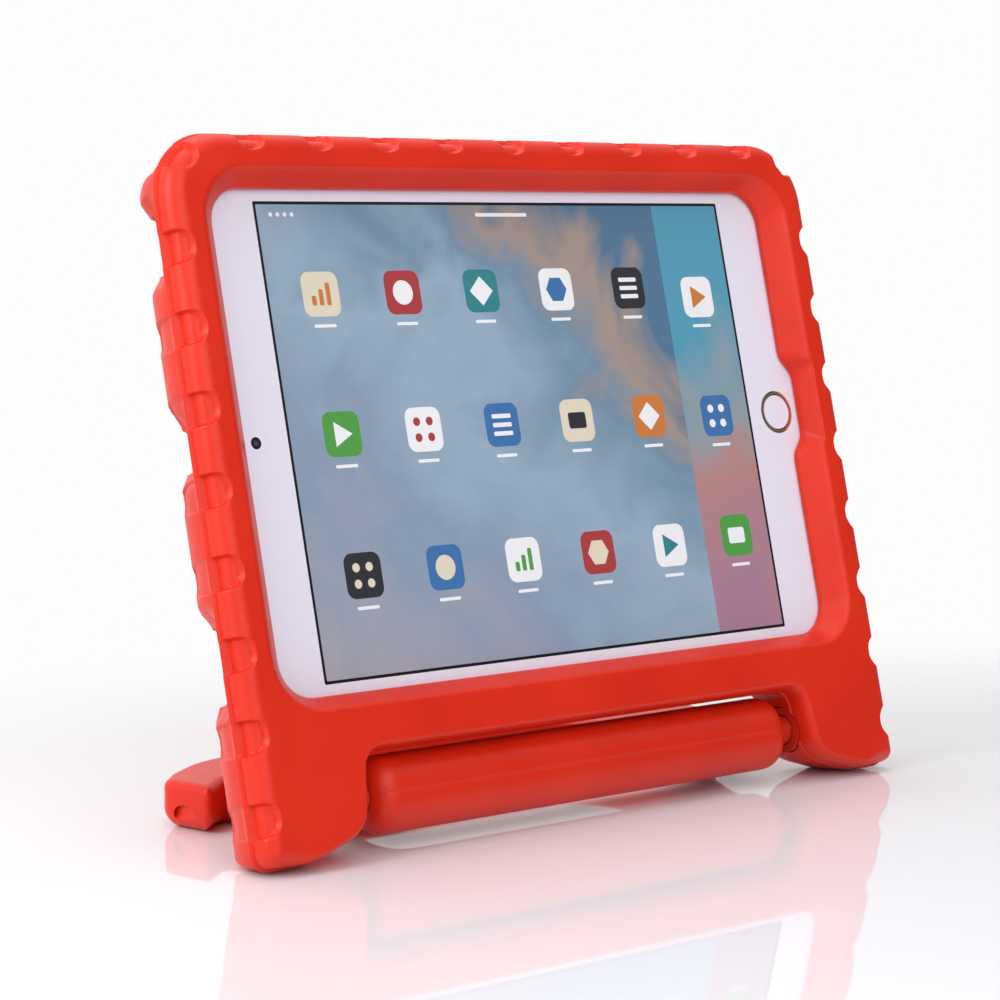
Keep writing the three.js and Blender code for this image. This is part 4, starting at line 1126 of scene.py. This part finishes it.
def screen_mesh(sizes, names):
    """The cover glass as a closed sheet, whose front is divided into what shows through it."""
    regions = screen_regions(sizes)
    hole = circle(HOME_BUTTON_X, 0, HOME_HOLE_RADIUS, 48)
    loops = [loop for _, loop in regions] + [hole]
    points, triangles, new_index = triangulated(loops)
    given_count = sum(len(loop) for loop in loops)
    faces = []
    materials = []
    for triangle in triangles:
        middle = sum((points[i] for i in triangle), Vector((0, 0))) / 3
        if inside(middle, hole) or not inside(middle, loops[0]):
            continue
        top = next(name for name, loop in reversed(regions) if inside(middle, loop))
        faces.append(triangle)
        materials.append(names.index(top))
    count = len(points)
    vertices = [case_point(p.x, p.y, 0.0) for p in points]
    vertices += [case_point(p.x, p.y, -GLASS_THICKNESS) for p in points]
    back = [tuple(i + count for i in reversed(face)) for face in faces]
    rims = [(range(len(loops[0])), 1), (range(given_count - len(hole), given_count), -1)]
    sides = []
    for rim, turn in rims:
        ring = [new_index[i] for i in rim]
        for a, b in zip(ring, ring[1:] + ring[:1]):
            side = (a + count, b + count, b, a)
            sides.append(side if turn > 0 else tuple(reversed(side)))
    mesh = bpy.data.meshes.new("cover_glass_dressed")
    mesh.from_pydata(vertices, [], faces + back + sides)
    for polygon_index, face in enumerate(mesh.polygons):
        face.material_index = materials[polygon_index] if polygon_index < len(faces) else 0
    return mesh


class TABLETCASE_OT_screen(bpy.types.Operator):
    """Builds the cover glass with the plain design that shows through it"""
    bl_idname = "tabletcase.screen"
    bl_label = "Cover glass and screen"

    def execute(self, context):
        sizes = context.scene.tablet_case_sizes
        colours = context.scene.tablet_case_colours
        names = ["bezel", "border", "field", "dock", "camera_eye", "camera_glint_spot", *SCREEN_INKS]
        mesh = screen_mesh(sizes, names)
        materials = [
            under_glass("glass_over_white_ink", colours.bezel),
            under_glass("glass_over_black_ink", "05070F"),
            screen_field("lit_field", FIELD_COLOURS, (2.6, 0.0, 2.4), 0.06),
            screen_field("lit_dock", DOCK_COLOURS, (0.0, 0.0, 5.5), 0.06),
            under_glass("camera_window", "0C0D12"),
            # painted glint on the camera dot
            under_glass("camera_glint", "3A3F52"),
        ]
        materials += [under_glass(f"screen_{name}", ink, 0.04) for name, ink in SCREEN_INKS.items()]
        for material in materials:
            mesh.materials.append(material)
        piece = add_object("cover_glass_dressed", mesh)
        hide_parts("cover_glass")
        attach(piece, "case")
        return {"FINISHED"}


class TABLETCASE_OT_tablet(bpy.types.Operator):
    """Finishes the tablet's shell, buttons, cameras and sockets"""
    bl_idname = "tabletcase.tablet"
    bl_label = "Tablet shell and buttons"

    def execute(self, context):
        colours = context.scene.tablet_case_colours
        shell = anodised_aluminium("aluminium_bead_blasted", colours.shell)
        finishes = {
            shell: ("tablet_back_shell", "power_button", "volume_up_button", "volume_down_button"),
            polished_metal("ring_diamond_cut", colours.ring): ("home_button_ring",),
            under_glass("home_button_ceramic", colours.bezel): ("home_button",),
            polished_metal("steel_stamped", "B4B4B6"): ("charging_port",),
            moulded_plastic("abs_dark", "26272B", 0.5): ("headphone_jack", "home_button_switch"),
            under_glass("lens_coated", "0F1220"): ("rear_camera_lens",),
        }
        finish_nodes(finishes)
        return {"FINISHED"}


class TABLETCASE_OT_inside(bpy.types.Operator):
    """Finishes what is sealed in the tablet"""
    bl_idname = "tabletcase.inside"
    bl_label = "Inside of the tablet"

    def execute(self, context):
        finishes = {
            under_glass("display_polariser", "31506A"): ("display_panel",),
            moulded_plastic("cell_pouch", "3B3E45", 0.35, 1.2): ("battery_cell_left", "battery_cell_right"),
            moulded_plastic("solder_mask", "1F5A3C", 0.4, 0.8): ("main_board",),
            moulded_plastic("module_housing", "2A2B30", 0.45): (
                "speaker_lower", "speaker_upper", "front_camera", "rear_camera",
            ),
        }
        finish_nodes(finishes)
        return {"FINISHED"}


# Stage

CAMERA_PLACE = SCREEN_CENTRE + Vector((-0.5138, -0.58709, 0.05438))
CAMERA_FORWARD = Vector((0.6468, 0.7568, -0.0944))
CAMERA_LENS = 106.04
BRIGHT_SIDE = (-0.62, 0.45, 0.64)
FADE_SIDE = (0.2, 0.9, 0.0)
FADE_RANGE = (0.2, 0.55)
LAMPS = (
    ("key_left", (-1.25, 0.05, 0.75), 0.8, 8.5),
    ("fill_front", (-0.35, -1.3, 0.9), 1.2, 7.8),
    ("top_soft", (0.1, 0.25, 1.5), 1.3, 6.0),
)


def seen_white(tree):
    """1 for what the camera sees of the surroundings, directly or through glass."""
    path = add_node(tree, "LightPath")
    seen = [path.outputs[name] for name in ("Is Camera Ray", "Is Transmission Ray")]
    return calculate(tree, "ADD", *seen, clamp=True)


def acrylic_floor(hex_colour):
    """Cast acrylic sheet: glossy, so that the case mirrors in it, and fading into the backdrop behind."""
    material, tree, shader = new_material("acrylic_sheet", Base_Color=linear(hex_colour), IOR=1.6)
    vary_roughness(tree, shader, grain(tree, 60), 0.03, 0.05)
    distance = vector_value(tree, "LENGTH", place(tree))
    behind = vector_value(tree, "DOT_PRODUCT", place(tree), FADE_SIDE)
    away = calculate(tree, "ADD", distance, behind)
    fade = spread(tree, away, 0.0, 1.0, *FADE_RANGE, interpolation_type="SMOOTHSTEP")
    clear = add_node(tree, "BsdfTransparent")
    mixed = add_node(tree, "MixShader", {
        0: fade, 1: shader.outputs["BSDF"], 2: clear.outputs["BSDF"],
    })
    tree.links.new(mixed.outputs["Shader"], tree.nodes["Material Output"].inputs["Surface"])
    return material


class TABLETCASE_OT_stage(bpy.types.Operator):
    """Sets the floor, the lamps, the surroundings and the camera"""
    bl_idname = "tabletcase.stage"
    bl_label = "Stage"

    def execute(self, context):
        scene = context.scene
        surface = Surface(lambda x, y, z: (x, y, z))
        corners = [(-6.0, -6.0, 0.0), (6.0, -6.0, 0.0), (6.0, 6.0, 0.0), (-6.0, 6.0, 0.0)]
        surface.faces.append(tuple(surface.loop(corners)))
        floor = add_object("floor", surface.mesh("floor"))
        give(floor, acrylic_floor(scene.tablet_case_colours.floor))
        floor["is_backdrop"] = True

        target = Vector((0, 0, 0.08))
        for name, position, size, power in LAMPS:
            lamp = bpy.data.lights.new(name, "AREA")
            lamp.size = size
            lamp.energy = power
            holder = bpy.data.objects.new(name, lamp)
            holder.location = position
            holder.rotation_euler = (target - Vector(position)).to_track_quat("-Z", "Y").to_euler()
            scene.collection.objects.link(holder)

        world = bpy.data.worlds.new("studio")
        scene.world = world
        world.use_nodes = True
        tree = world.node_tree
        background = tree.nodes["Background"]
        background.inputs["Color"].default_value = linear("FDFDFD")
        direction = add_node(tree, "TexCoord").outputs["Generated"]
        towards = vector_value(tree, "DOT_PRODUCT", direction, BRIGHT_SIDE)
        soft = spread(tree, towards, 0.12, 1.0, -0.8, 0.6, interpolation_type="SMOOTHSTEP")
        strength = add_node(tree, "Mix", {0: seen_white(tree), 2: soft, 3: 1.0})
        tree.links.new(strength.outputs[0], background.inputs["Strength"])

        lens = bpy.data.cameras.new("camera")
        lens.lens = CAMERA_LENS
        lens.sensor_width = 36
        lens.clip_start = 0.01
        camera = bpy.data.objects.new("camera", lens)
        camera.location = CAMERA_PLACE
        camera.rotation_euler = CAMERA_FORWARD.to_track_quat("-Z", "Y").to_euler()
        scene.collection.objects.link(camera)
        scene.camera = camera
        scene.view_settings.view_transform = "Standard"
        return {"FINISHED"}


OPERATORS = (
    TABLETCASE_OT_body, TABLETCASE_OT_handle, TABLETCASE_OT_hinge, TABLETCASE_OT_screen,
    TABLETCASE_OT_tablet, TABLETCASE_OT_inside, TABLETCASE_OT_stage,
)


class TABLETCASE_PT_panel(bpy.types.Panel):
    """Lists the steps that build the case"""
    bl_idname = "TABLETCASE_PT_panel"
    bl_label = "Tablet Case"
    bl_space_type = "VIEW_3D"
    bl_region_type = "UI"
    bl_category = "Tablet Case"

    def draw(self, context):
        for group in (context.scene.tablet_case_sizes, context.scene.tablet_case_colours):
            for key in group.__annotations__:
                self.layout.prop(group, key)
        for operator in OPERATORS:
            self.layout.operator(operator.bl_idname)


CLASSES = (TabletCaseSizes, TabletCaseColours, *OPERATORS, TABLETCASE_PT_panel)


def register():
    for item in CLASSES:
        bpy.utils.register_class(item)
    bpy.types.Scene.tablet_case_sizes = bpy.props.PointerProperty(type=TabletCaseSizes)
    bpy.types.Scene.tablet_case_colours = bpy.props.PointerProperty(type=TabletCaseColours)


def unregister():
    del bpy.types.Scene.tablet_case_colours
    del bpy.types.Scene.tablet_case_sizes
    for item in reversed(CLASSES):
        bpy.utils.unregister_class(item)


def main():
    register()
    bpy.ops.tabletcase.stage()
    bpy.ops.tabletcase.body()
    bpy.ops.tabletcase.handle()
    bpy.ops.tabletcase.hinge()
    bpy.ops.tabletcase.screen()
    bpy.ops.tabletcase.tablet()
    bpy.ops.tabletcase.inside()
    plain = [[list(corner) for corner in bounds] for bounds in (CAD_BOUNDS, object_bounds())]


if __name__ == "__main__":
    main()
